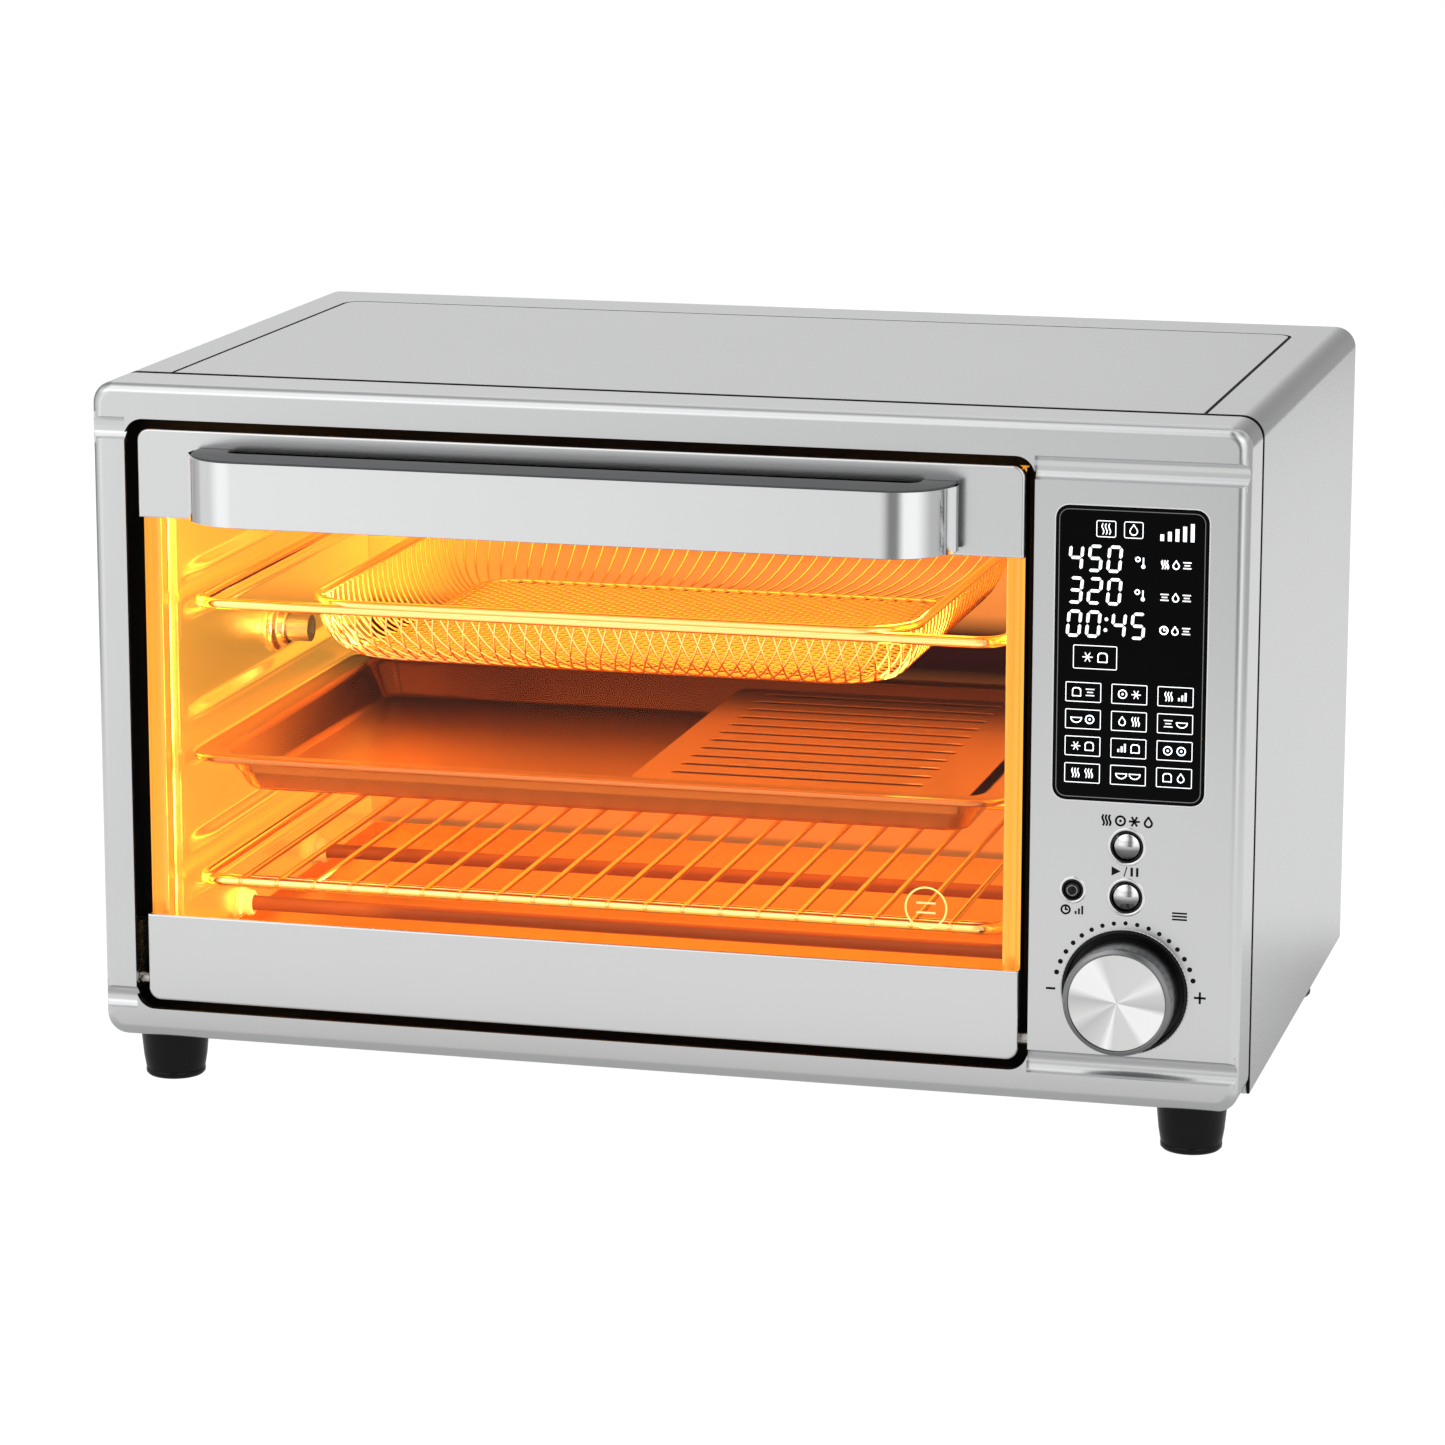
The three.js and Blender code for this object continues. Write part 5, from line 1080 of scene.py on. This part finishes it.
# ------------------------------------------------------------------ inks
class Ink:
    """Thin flat shapes printed on a surface that faces -Y."""

    def __init__(self, y, depth=0.08 * MM):
        self.y = y
        self.depth = depth
        self.points = []
        self.faces = []

    def polygon(self, outline):
        start = len(self.points)
        count = len(outline)
        for y in (self.y - self.depth, self.y):
            self.points.extend(Vector((u, y, v)) for u, v in outline)
        self.faces.append(tuple(range(start, start + count)))
        self.faces.append(tuple(reversed(range(start + count, start + 2 * count))))
        for k in range(count):
            n = (k + 1) % count
            self.faces.append((start + k, start + count + k, start + count + n, start + n))

    def bar(self, x0, x1, z0, z1):
        self.polygon([(x0, z0), (x1, z0), (x1, z1), (x0, z1)])

    def disc(self, x, z, r, count=20):
        turn = [2 * math.pi * k / count for k in range(count)]
        self.polygon([(x + r * math.cos(a), z + r * math.sin(a)) for a in turn])

    def stroke(self, path, width, closed=False):
        """A line of even width, one quad for each stretch, with its corners filled."""
        total = len(path)
        half = width / 2
        last = total if closed else total - 1
        for k in range(last):
            (u0, v0), (u1, v1) = path[k], path[(k + 1) % total]
            length = math.hypot(u1 - u0, v1 - v0)
            if length < 1e-9:
                continue
            du, dv = (u1 - u0) / length * half, (v1 - v0) / length * half
            ends = [(u0 - du * 0.6, v0 - dv * 0.6), (u1 + du * 0.6, v1 + dv * 0.6)]
            (a, b), (c, d) = ends
            self.polygon([(a + dv, b - du), (c + dv, d - du), (c - dv, d + du), (a - dv, b + du)])

    def frame(self, x0, x1, z0, z1, r, width):
        outer = round_outline(x0, x1, z0, z1, r, 5)
        inner = round_outline(x0 + width, x1 - width, z0 + width, z1 - width, r - width, 5)
        count = len(outer)
        for k in range(count):
            n = (k + 1) % count
            self.polygon([outer[k], outer[n], inner[n], inner[k]])

    def circle(self, x, z, r, width, count=24):
        turn = [2 * math.pi * k / count for k in range(count)]
        self.stroke([(x + r * math.cos(a), z + r * math.sin(a)) for a in turn], width, True)

    def build(self, name):
        return face_outwards(make_object(name, self.points, self.faces))


SEGMENTS = {"0": "abcdef", "2": "abged", "3": "abgcd", "4": "fgbc", "5": "afgcd"}


def digit(ink, figure, x, z, w, h, t):
    """Seven-segment figure with its lower left corner at (x, z), leaning a little."""
    lean = 0.08
    gap = 0.2 * t

    def at(u, v):
        return (x + u + lean * v, z + v)

    def level(v):
        a, b = t / 2 + gap, w - t / 2 - gap
        return [(a, v), (a + t / 2, v + t / 2), (b - t / 2, v + t / 2), (b, v),
                (b - t / 2, v - t / 2), (a + t / 2, v - t / 2)]

    def upright(u, low, high):
        a, b = low + gap, high - gap
        return [(u, a), (u + t / 2, a + t / 2), (u + t / 2, b - t / 2), (u, b),
                (u - t / 2, b - t / 2), (u - t / 2, a + t / 2)]

    low, mid, high = t / 2, h / 2, h - t / 2
    left, right = t / 2, w - t / 2
    shapes = {
        "a": level(high), "g": level(mid), "d": level(low),
        "b": upright(right, mid, high), "c": upright(right, low, mid),
        "f": upright(left, mid, high), "e": upright(left, low, mid),
    }
    for key in SEGMENTS[figure]:
        ink.polygon([at(u, v) for u, v in shapes[key]])


def number(ink, text, x, z, w=5.9 * MM, h=10.9 * MM, pitch=7.7 * MM, t=1.25 * MM):
    for figure in text:
        if figure == ":":
            for height in (0.3, 0.7):
                ink.disc(x + 0.3 * MM + 0.08 * h * height, z + h * height, 0.75 * MM, 12)
            x += 2.4 * MM
        else:
            digit(ink, figure, x, z, w, h, t)
            x += pitch


# Generic signs, each drawn in a cell of unit height about its middle
def sign_waves(ink, x, z, s, w):
    for k in (-1, 0, 1):
        path = [(x + k * 0.32 * s + 0.09 * s * math.sin(v * 6.3), z + s * (v - 0.5))
                for v in (0, 0.17, 0.33, 0.5, 0.67, 0.83, 1)]
        ink.stroke(path, w)


def sign_flat(ink, x, z, s, w):
    for k, long in ((-0.35, 0.9), (0, 0.6), (0.35, 0.9)):
        ink.stroke([(x - long * s / 2, z + k * s), (x + long * s / 2, z + k * s)], w)


def sign_ring(ink, x, z, s, w):
    ink.circle(x, z, 0.45 * s, w)
    ink.disc(x, z, 0.14 * s, 10)


def sign_bowl(ink, x, z, s, w):
    arc = [(x + 0.6 * s * math.cos(a), z + 0.15 * s + 0.55 * s * math.sin(a))
           for a in [math.pi * (1 + k / 8) for k in range(9)]]
    ink.stroke(arc, w, True)


def sign_slice(ink, x, z, s, w):
    outline = round_outline(x - 0.45 * s, x + 0.45 * s, z - 0.45 * s, z + 0.45 * s,
                            (0.08 * s, 0.3 * s, 0.3 * s, 0.08 * s), 4)
    ink.stroke(outline, w, True)


def sign_drop(ink, x, z, s, w):
    path = [(x, z + 0.5 * s)]
    for k in range(9):
        a = math.radians(40 - 260 * k / 8)
        path.append((x + 0.36 * s * math.cos(a), z - 0.12 * s + 0.36 * s * math.sin(a)))
    ink.stroke(path, w, True)


def sign_cross(ink, x, z, s, w):
    for a in (0, 60, 120):
        u, v = 0.48 * s * math.cos(math.radians(a)), 0.48 * s * math.sin(math.radians(a))
        ink.stroke([(x - u, z - v), (x + u, z + v)], w)


def sign_clock(ink, x, z, s, w):
    ink.circle(x, z, 0.46 * s, w)
    ink.stroke([(x, z + 0.28 * s), (x, z), (x + 0.2 * s, z)], w)


def sign_steps(ink, x, z, s, w):
    for k in range(3):
        x0, x1 = x + (k - 1.3) * 0.36 * s, x + (k - 0.7) * 0.36 * s
        ink.bar(x0, x1, z - 0.45 * s, z + (k * 0.3 - 0.1) * s)


SIGNS = [sign_slice, sign_ring, sign_waves, sign_bowl, sign_drop, sign_flat,
         sign_cross, sign_steps, sign_ring, sign_waves, sign_bowl, sign_slice]


def pair_of_signs(ink, number_, x, z, s, w):
    """Two small signs side by side, as on a key."""
    SIGNS[number_ % len(SIGNS)](ink, x - 0.75 * s, z, s, w)
    SIGNS[(number_ + 5) % len(SIGNS)](ink, x + 0.75 * s, z, s, w)


def display_graphics():
    x0, x1, y0, _, z0, z1 = sides("display_lens")
    ink = Ink(y0 - 0.02 * MM)

    def at(right, down):
        return x0 + right * MM, z1 - down * MM

    for left, right in ((15.9, 23.8), (26.9, 34.6)):
        ax, az = at(left, 12)
        bx, bz = at(right, 5.3)
        ink.frame(ax, bx, az, bz, 0.9 * MM, 0.35 * MM)
        sign = sign_waves if left < 20 else sign_drop
        sign(ink, (ax + bx) / 2, (az + bz) / 2, 4.2 * MM, 0.4 * MM)
    for k in range(5):
        ax, az = at(41.3 + 3 * k, 12.4)
        ink.bar(ax, ax + 1.5 * MM, az, az + (2.6 + 1.15 * k) * MM)
    for text, down in (("450", 26), ("320", 39), ("00:45", 52.3)):
        number(ink, text, *at(4.6 if text != "00:45" else 4.2, down))
    for down, sign in ((21.8, sign_waves), (34.8, sign_flat), (48.0, sign_clock)):
        if down < 40:
            ink.circle(*at(32.6, down - 1.6), 0.85 * MM, 0.45 * MM, 14)
            ink.stroke([at(34.8, down - 2.2), at(34.8, down + 1.2)], 0.6 * MM)
            ink.disc(*at(34.8, down + 1.2), 0.85 * MM, 12)
        for k in range(3):
            spot = at(43.4 + 4.4 * k, down)
            (sign if k == 0 else SIGNS[k + 3])(ink, *spot, 3.3 * MM, 0.5 * MM)
    ax, az = at(7.4, 65)
    bx, bz = at(25, 55.4)
    ink.frame(ax, bx, az, bz, 0.6 * MM, 0.32 * MM)
    pair_of_signs(ink, 6, (ax + bx) / 2, (az + bz) / 2, 4 * MM, 0.45 * MM)
    key_grid(ink, at)
    graphics = ink.build("display_graphics")
    place(graphics, "case", "display_light", LIT)
    border = Ink(y0 - 0.02 * MM, 0.05 * MM)
    edge = 1.1 * MM
    border.frame(x0 + edge, x1 - edge, z0 + edge, z1 - edge, 4 * MM, 0.3 * MM)
    place(border.build("display_border"), "case", "panel_print", KNOB)
    # Painted highlight round the display window.
    rim = Ink(FY0 - 0.01 * MM, 0.05 * MM)
    wide = 0.75 * MM
    rim.frame(x0 - wide, x1 + wide, z0 - wide, z1 + wide, 5 * MM + wide, 0.45 * MM)
    place(rim.build("display_rim"), "case", "satin_steel", PAINTED_EDGE_HIGHLIGHT)


def key_grid(ink, at):
    """Four rows of three keys, each with its own pair of signs."""
    for row in range(4):
        for column in range(3):
            ax, az = at(4.6 + 18.4 * column, 78.4 + 10.9 * row)
            bx, bz = at(18.9 + 18.4 * column, 70.4 + 10.9 * row)
            ink.frame(ax, bx, az, bz, 0.5 * MM, 0.32 * MM)
            pair_of_signs(ink, 3 * row + column, (ax + bx) / 2, (az + bz) / 2, 3.6 * MM, 0.42 * MM)


def screen():
    x0, x1, y0, y1, z0, z1 = sides("display_lens")
    rings = rolled_rings(x0, x1, y0, z0, z1, (5 * MM,) * 4, 0.5 * MM, 4, 12)
    rings.append(front_ring(round_outline(x0, x1, z0, z1, 5 * MM, 12), y1))
    lens = loft("display_screen", rings)
    place(lens, "case", "display_black", SCREEN, "display_lens", angle=50)


def panel_signs():
    """Dial dots and marks round the knob, and a sign for each button."""
    ink = Ink(FY0 - 0.01 * MM, 0.05 * MM)
    knob = middle("control_knob")
    for k in range(-8, 9):
        a = math.radians(90 + 9.6 * k)
        radius = 0.88 * MM + 0.02 * MM * abs(k)
        ink.disc(knob.x + 28.3 * MM * math.cos(a), knob.z + 28.3 * MM * math.sin(a), radius, 14)
    low = knob.z - 0.4 * MM
    ink.bar(knob.x - 31.8 * MM, knob.x - 28 * MM, low - 0.45 * MM, low + 0.45 * MM)
    ink.bar(knob.x + 28 * MM, knob.x + 32.8 * MM, low - 0.45 * MM, low + 0.45 * MM)
    ink.bar(knob.x + 29.95 * MM, knob.x + 30.85 * MM, low - 2.4 * MM, low + 2.4 * MM)
    size, width = 4.1 * MM, 0.8 * MM
    function, start, timer = (middle(name) for name in BUTTON_NODES)
    for k, sign in enumerate((sign_waves, sign_ring, sign_cross, sign_drop)):
        sign(ink, function.x + (k - 1.5) * 5.6 * MM, function.z + 10.4 * MM, size, width)
    z = start.z + 10.4 * MM
    left, half = start.x - 6 * MM, 1.9 * MM
    ink.polygon([(left, z - half), (left + 3.6 * MM, z), (left, z + half)])
    ink.bar(start.x + 1.6 * MM, start.x + 2.6 * MM, z - 1.8 * MM, z + 1.8 * MM)
    ink.bar(start.x + 3.8 * MM, start.x + 4.8 * MM, z - 1.8 * MM, z + 1.8 * MM)
    ink.stroke([(start.x - 0.9 * MM, z - 1.9 * MM), (start.x + 0.1 * MM, z + 1.9 * MM)], 0.45 * MM)
    for k, sign in enumerate((sign_clock, sign_steps)):
        sign(ink, timer.x + (k - 0.5) * 5.4 * MM, timer.z - 8.2 * MM, 3.7 * MM, 0.75 * MM)
    for k in range(3):
        z = start.z - 8.2 * MM + k * 1.3 * MM
        ink.bar(knob.x + 18.6 * MM, knob.x + 24.6 * MM, z, z + 0.7 * MM)
    place(ink.build("panel_signs"), "case", "panel_print", PRINT)


def glass_sign():
    """A plain printed mark low on the right of the glass: a ring round two bars."""
    _, x1, y0, _, z0, _ = sides("door_glass")
    ink = Ink(y0 - 0.02 * MM, 0.05 * MM)
    x, z = x1 - 36.8 * MM, z0 + 31 * MM
    ink.circle(x, z, 8.4 * MM, 0.75 * MM, 40)
    for rise in (-2, 2):
        ink.bar(x - 4 * MM, x + 4 * MM, z + (rise - 0.4) * MM, z + (rise + 0.4) * MM)
    place(ink.build("glass_sign"), "door", "glass_print", GLASS_PRINT)


# ------------------------------------------------------------------ knob and buttons
def knob_set():
    x0, x1, y0, y1, _, _ = sides("control_knob")
    centre = middle("control_knob")
    r = (x1 - x0) / 2
    face = (sides("knob_cap")[1] - sides("knob_cap")[0]) / 2
    floor = sides("knob_cap")[3] + SKIN
    profile = [
        (0, floor), (face + SKIN, floor), (face + SKIN, y0 + 0.1 * MM), (face + 0.6 * MM, y0),
        (r - 1.7 * MM, y0), (r - 0.5 * MM, y0 + 0.6 * MM), (r, y0 + 1.6 * MM),
        (r, y1 - 6 * MM), (r - 0.4 * MM, y1 - 5.6 * MM), (r - 0.4 * MM, y1), (0, y1),
    ]
    body = turned("knob_body", profile, centre, "Y", 128)
    place(body, "knob", "knob_grey", KNOB, "control_knob", angle=28)
    _, _, cy0, cy1, _, _ = sides("knob_cap")
    profile = [(0, cy1), (face - 0.15 * MM, cy1), (face, cy1 - 0.15 * MM), (face, cy0 + 0.25 * MM),
               (face - 0.25 * MM, cy0), (face * 0.6, cy0 + 0.12 * MM), (0, cy0 + 0.18 * MM)]
    cap = turned("knob_face", profile, centre, "Y", 128)
    place(cap, "knob", "spun_aluminium", SPUN, "knob_cap", angle=28)


def bezel():
    x0, x1, y0, y1, _, _ = sides("knob_bezel")
    centre = middle("knob_bezel")
    r = (x1 - x0) / 2
    wall = 1.3 * MM
    hole = 4 * MM
    profile = [
        (hole, y1), (r, y1), (r, y0 + 0.5 * MM), (r - 0.35 * MM, y0), (r - wall + 0.3 * MM, y0),
        (r - wall, y0 + 0.4 * MM), (r - wall, y1 - wall), (hole, y1 - wall),
    ]
    ring = turned("knob_recess", profile, centre, "Y", 128, hollow=True)
    place(ring, "case", "black_gloss_plastic", GLOSS, "knob_bezel", angle=35)
    # Painted highlight round the knob hole.
    rim = Ink(FY0 - 0.01 * MM, 0.05 * MM)
    rim.circle(centre.x, centre.z, r + 0.5 * MM, 0.4 * MM, 96)
    place(rim.build("knob_rim"), "case", "satin_steel", PAINTED_EDGE_HIGHLIGHT)


BUTTON_BODIES = {
    "function_button": "function_key", "start_button": "start_key", "timer_button": "timer_key",
}
BUTTON_R = {"function_button": 5.6 * MM, "start_button": 5.6 * MM, "timer_button": 3.4 * MM}


def push_button(name):
    _, _, y0, y1, _, _ = sides(name)
    centre = middle(name)
    r = BUTTON_R[name]
    crown, edge = 1.9 * MM, 0.3 * MM
    profile = [(0, y1), (r + 1.1 * MM, y1), (r + 1.1 * MM, y1 - 1.1 * MM), (r, y1 - 1.1 * MM)]
    profile += [(r, y0 + crown + edge), (r - 0.15 * MM, y0 + crown + 0.15 * MM)]
    for k in range(9, -1, -1):
        share = k / 9.5
        profile.append((r * share, y0 + crown * share ** 2))
    cap = turned(f"{name}_cap", profile, centre, "Y", 72)
    soften(cap, 0, angle=50)
    dark = name == "timer_button"
    slot = "black_gloss_plastic" if dark else "button_chrome"
    place(cap, BUTTON_BODIES[name], slot, GLOSS if dark else PAINTED_REFLECTION_BUTTON, name)
    ring_r = COLLAR_RADII[name]
    front = FY0 - 0.55 * MM
    outline = [
        (ring_r - 0.5 * MM, FY0 + 0.5 * MM), (ring_r + 0.75 * MM, FY0 - 0.02 * MM),
        (ring_r + 0.6 * MM, front + 0.15 * MM), (ring_r + 0.2 * MM, front),
        (ring_r - 0.4 * MM, front + 0.1 * MM), (ring_r - 0.5 * MM, front + 0.3 * MM),
    ]
    trim = turned(f"{name}_trim", outline, centre, "Y", 72, hollow=True)
    place(trim, "case", "button_chrome", TRIM, angle=50)
    if dark:
        path = front_ring(arc(centre.x, centre.z, 2 * MM, 0, 351, 39), y0 + 0.7 * MM)
        ring = wires(f"{name}_ring", [(path, 0.3 * MM, True)], 8)
        soften(ring, 0, angle=60)
        place(ring, BUTTON_BODIES[name], "knob_grey", KNOB)


# ------------------------------------------------------------------ the pieces
fascia_shell()
case_wrap()
for corner in ("front_left", "front_right", "rear_left", "rear_right"):
    foot(f"foot_{corner}")
cavity_wall("cavity_left_wall", 1)
cavity_wall("cavity_right_wall", -1)
for place_name in ("front", "rear"):
    heater(f"heater_upper_{place_name}", HOT)
    heater(f"heater_lower_{place_name}", WARM)
spit_boss()
wire_rack()
basket_carrier()
basket_mesh()
tray_pan()
grill_insert()
door_band("door_head", "door_top_band", (0.4 * MM, DOOR_R, DOOR_R, 0.4 * MM), "low", DOOR_STEEL)
door_band("door_foot", "door_bottom_band", (DOOR_R, 0.4 * MM, 0.4 * MM, DOOR_R), "high", DOOR_STEEL)
glass_pane()
stile("door_left_stile")
stile("door_right_stile")
handle_grip()
handle_strip()
screen()
display_graphics()
panel_signs()
glass_sign()
knob_set()
bezel()
for button in BUTTON_NODES:
    push_button(button)

KEPT = [
    (CASE, ["base_pan", "rear_cover"]),
    (GLOSS, ["cord_gland", "button_guide"]),
    (ENAMEL, ["front_frame"]),
    (CAVITY, ["cavity_ceiling", "cavity_floor", "crumb_tray"]),
    (BACK, ["cavity_back"]),
    (PLATED, ["spit_support", "temperature_sensor", "hinge_arm_left",
              "hinge_arm_right", "hinge_bracket_left", "hinge_bracket_right", "door_spring",
              "handle_screw_left", "handle_screw_right", "encoder", "encoder_shaft", "fan_shaft"]),
    (MOTOR, ["spit_drive_shaft", "spit_motor", "fan_housing", "fan_motor", "fan_blade"]),
    (BOARD, ["control_board", "power_board"]),
]
for finish, names in KEPT:
    for name in names:
        keep_node(name, finish)


# ------------------------------------------------------------------ stage, lights, camera
FLOOR_REACH = 1.0
FLOOR_BEHIND = 2.8
# Painted shade: the floor is dimmer near the oven for everything but the camera.
NEAR, FAR = 0.0, 0.14  # distances from the oven between which the floor goes from dim to bright
DIM, BRIGHT = 0.4, 0.74


def seen_by_camera(tree, otherwise, socket):
    """White to the camera; anything else, reflections included, gets the other colour."""
    camera_ray = step(tree, "ShaderNodeLightPath", {}, "Is Camera Ray")
    feed(tree, socket, blend(tree, camera_ray, otherwise, (1, 1, 1)))


def floor():
    turn = [2 * math.pi * k / 64 for k in range(64)]
    rim = []
    for a in turn:
        reach = FLOOR_BEHIND if math.sin(a) > 0 else FLOOR_REACH
        rim.append((FLOOR_REACH * math.cos(a), reach * math.sin(a), 0))
    ground = make_object("floor", rim, [tuple(range(64))])
    material = surface("floor_white", (0.12, 0.12, 0.12), 0.0, 0.9, 30, bump=0.0, tone=0.01,
                       Specular_IOR_Level=0.0, Emission_Strength=1.0)
    tree = material.node_tree
    outside = vector(tree, "ABSOLUTE", coordinates(tree))
    beyond = vector(tree, "SUBTRACT", outside, (FX1, CAD_BOX[1].y, 0))
    distance = vector(tree, "LENGTH", vector(tree, "MAXIMUM", beyond), output="Value")
    # Painted shade round the oven's footprint.
    dim = rescale(tree, distance, NEAR, FAR, DIM, BRIGHT, "SMOOTHSTEP")
    seen_by_camera(tree, dim, tree.nodes["Principled BSDF"].inputs["Emission Color"])
    ground.data.materials.append(material)
    ground.location.z = CAD_BOX[0].z - 0.02 * MM


def area_light(name, spot, aim, size, power, colour=(1, 1, 1)):
    data = bpy.data.lights.new(name, "AREA")
    data.shape = "RECTANGLE"
    data.size, data.size_y = size
    data.energy = power
    data.color = colour
    light = bpy.data.objects.new(name, data)
    bpy.context.scene.collection.objects.link(light)
    light.location = spot
    light.rotation_mode = "QUATERNION"
    light.rotation_quaternion = (Vector(aim) - Vector(spot)).to_track_quat("-Z", "Y")
    return light


def studio_lights():
    centre = (CAD_BOX[0] + CAD_BOX[1]) / 2
    area_light("key", centre + Vector((-1.2, -1.6, 2.2)), centre, (2.2, 2.2), 5)
    area_light("fill", centre + Vector((1.8, -1.2, 1.2)), centre, (2.0, 2.0), 2)
    area_light("top", centre + Vector((0, 0.4, 2.6)), centre, (3.0, 3.0), 5)


def oven_glow():
    """Warm light of the hot oven: round the basket, under the tray and on the left wall."""
    x0 = sides("cavity_left_wall")[0]
    x1 = sides("cavity_right_wall")[1]
    _, _, y0, y1, z0, z1 = sides("cavity_left_wall")
    mid = Vector(((x0 + x1) / 2, (y0 + y1) / 2, 0))
    up = Vector((0, 0, 1))
    amber, gold = (1.0, 0.33, 0.03), (1.0, 0.47, 0.07)
    under = Vector((mid.x, mid.y, z1 - 6 * MM))
    warm_light("glow_top", under, under - up, (0.3, 0.2), 0.4, gold)
    basket = Vector((mid.x, mid.y, sides("fry_basket")[4] - 2 * MM))
    warm_light("glow_basket", basket, basket + up, (0.2, 0.16), 0.13, gold)
    tray = Vector((mid.x, mid.y + 0.02, sides("baking_tray")[4] - 4 * MM))
    warm_light("glow_low", tray, tray - up, (0.3, 0.18), 0.6, amber)
    pale = (1.0, 0.6, 0.13)
    wall = Vector((x0 + 70 * MM, y0 + 40 * MM, (z0 + z1) / 2))
    warm_light("glow_left", wall, wall + Vector((-1, 0, 0)), (0.03, 0.2), 0.6, pale)
    door = Vector((mid.x, y0 - 3 * MM, (z0 + z1) / 2))
    warm_light("glow_front", door, door + Vector((0, 1, 0)), (0.34, 0.2), 0.26, (1.0, 0.5, 0.11))
    wall = Vector((x1 - 60 * MM, y0 + 60 * MM, z1 - 60 * MM))
    warm_light("glow_right", wall, wall + Vector((1, 0, 0)), (0.08, 0.09), 0.2, pale)


def warm_light(name, spot, aim, size, power, colour):
    light = area_light(name, spot, aim, size, power, colour)
    light.visible_camera = False
    light.visible_transmission = False
    return light


# Brightness of the studio round the oven: degrees to the left of straight in front, value
PANORAMA = [
    (-180, 0.4), (-169, 0.25), (-154, 0.6), (-130, 0.45), (-80, 0.5), (-54, 1.0), (-30, 1.0),
    (-18, 0.22), (-5, 0.2), (5, 0.62), (13, 0.74), (24, 0.93), (32, 1.0), (46, 1.0), (64, 0.7),
    (98, 0.5), (124, 0.25), (144, 0.3), (158, 0.74), (171, 0.7),
]
# The same by height: sine of the height above the horizon, value
HEIGHTS = [(0.0, 0.77), (0.2, 0.77), (0.27, 0.66), (0.42, 1.0), (0.56, 1.0), (0.72, 0.66), (1.0, 0.66)]
SKY_STRENGTH = 1.3


def world():
    """Soft studio with upright bands of light and dark, brighter from above."""
    made = bpy.data.worlds.new("studio")
    bpy.context.scene.world = made
    made.use_nodes = True
    tree = made.node_tree
    x, y, z = parts(tree, coordinates(tree, "Generated"))
    turn = rescale(tree, calculate(tree, "ARCTAN2", y, x), -math.pi, math.pi)
    bands = ramp(tree, turn, sorted((((90 - left) / 360) % 1.0, value) for left, value in PANORAMA))
    product = vector(tree, "MULTIPLY", bands, ramp(tree, z, HEIGHTS))
    sky = step(tree, "ShaderNodeVectorMath", {0: product, "Scale": SKY_STRENGTH}, operation="SCALE")
    seen_by_camera(tree, sky, tree.nodes["Background"].inputs["Color"])


def camera():
    """Long lens, a little above and to the right of the oven's front."""
    azimuth, elevation, roll = math.radians(14.49), math.radians(12.17), math.radians(0.07)
    distance = 2.12
    target = Vector(((FX0 + FX1) / 2 + 28.2 * MM, FY0, (FZ0 + FZ1) / 2 + 10.4 * MM))
    back = Vector((math.sin(azimuth) * math.cos(elevation), -math.cos(azimuth) * math.cos(elevation),
                   math.sin(elevation)))
    data = bpy.data.cameras.new("camera")
    data.lens = 131.2
    data.sensor_width = 36
    data.dof.use_dof = False
    obj = bpy.data.objects.new("camera", data)
    bpy.context.scene.collection.objects.link(obj)
    obj.location = target + back * distance
    look = (-back).to_track_quat("-Z", "Y").to_matrix() @ Matrix.Rotation(roll, 3, "Z")
    obj.rotation_euler = look.to_euler()
    bpy.context.scene.camera = obj


bpy.context.scene.view_settings.view_transform = "Standard"
floor()
studio_lights()
oven_glow()
world()
camera()
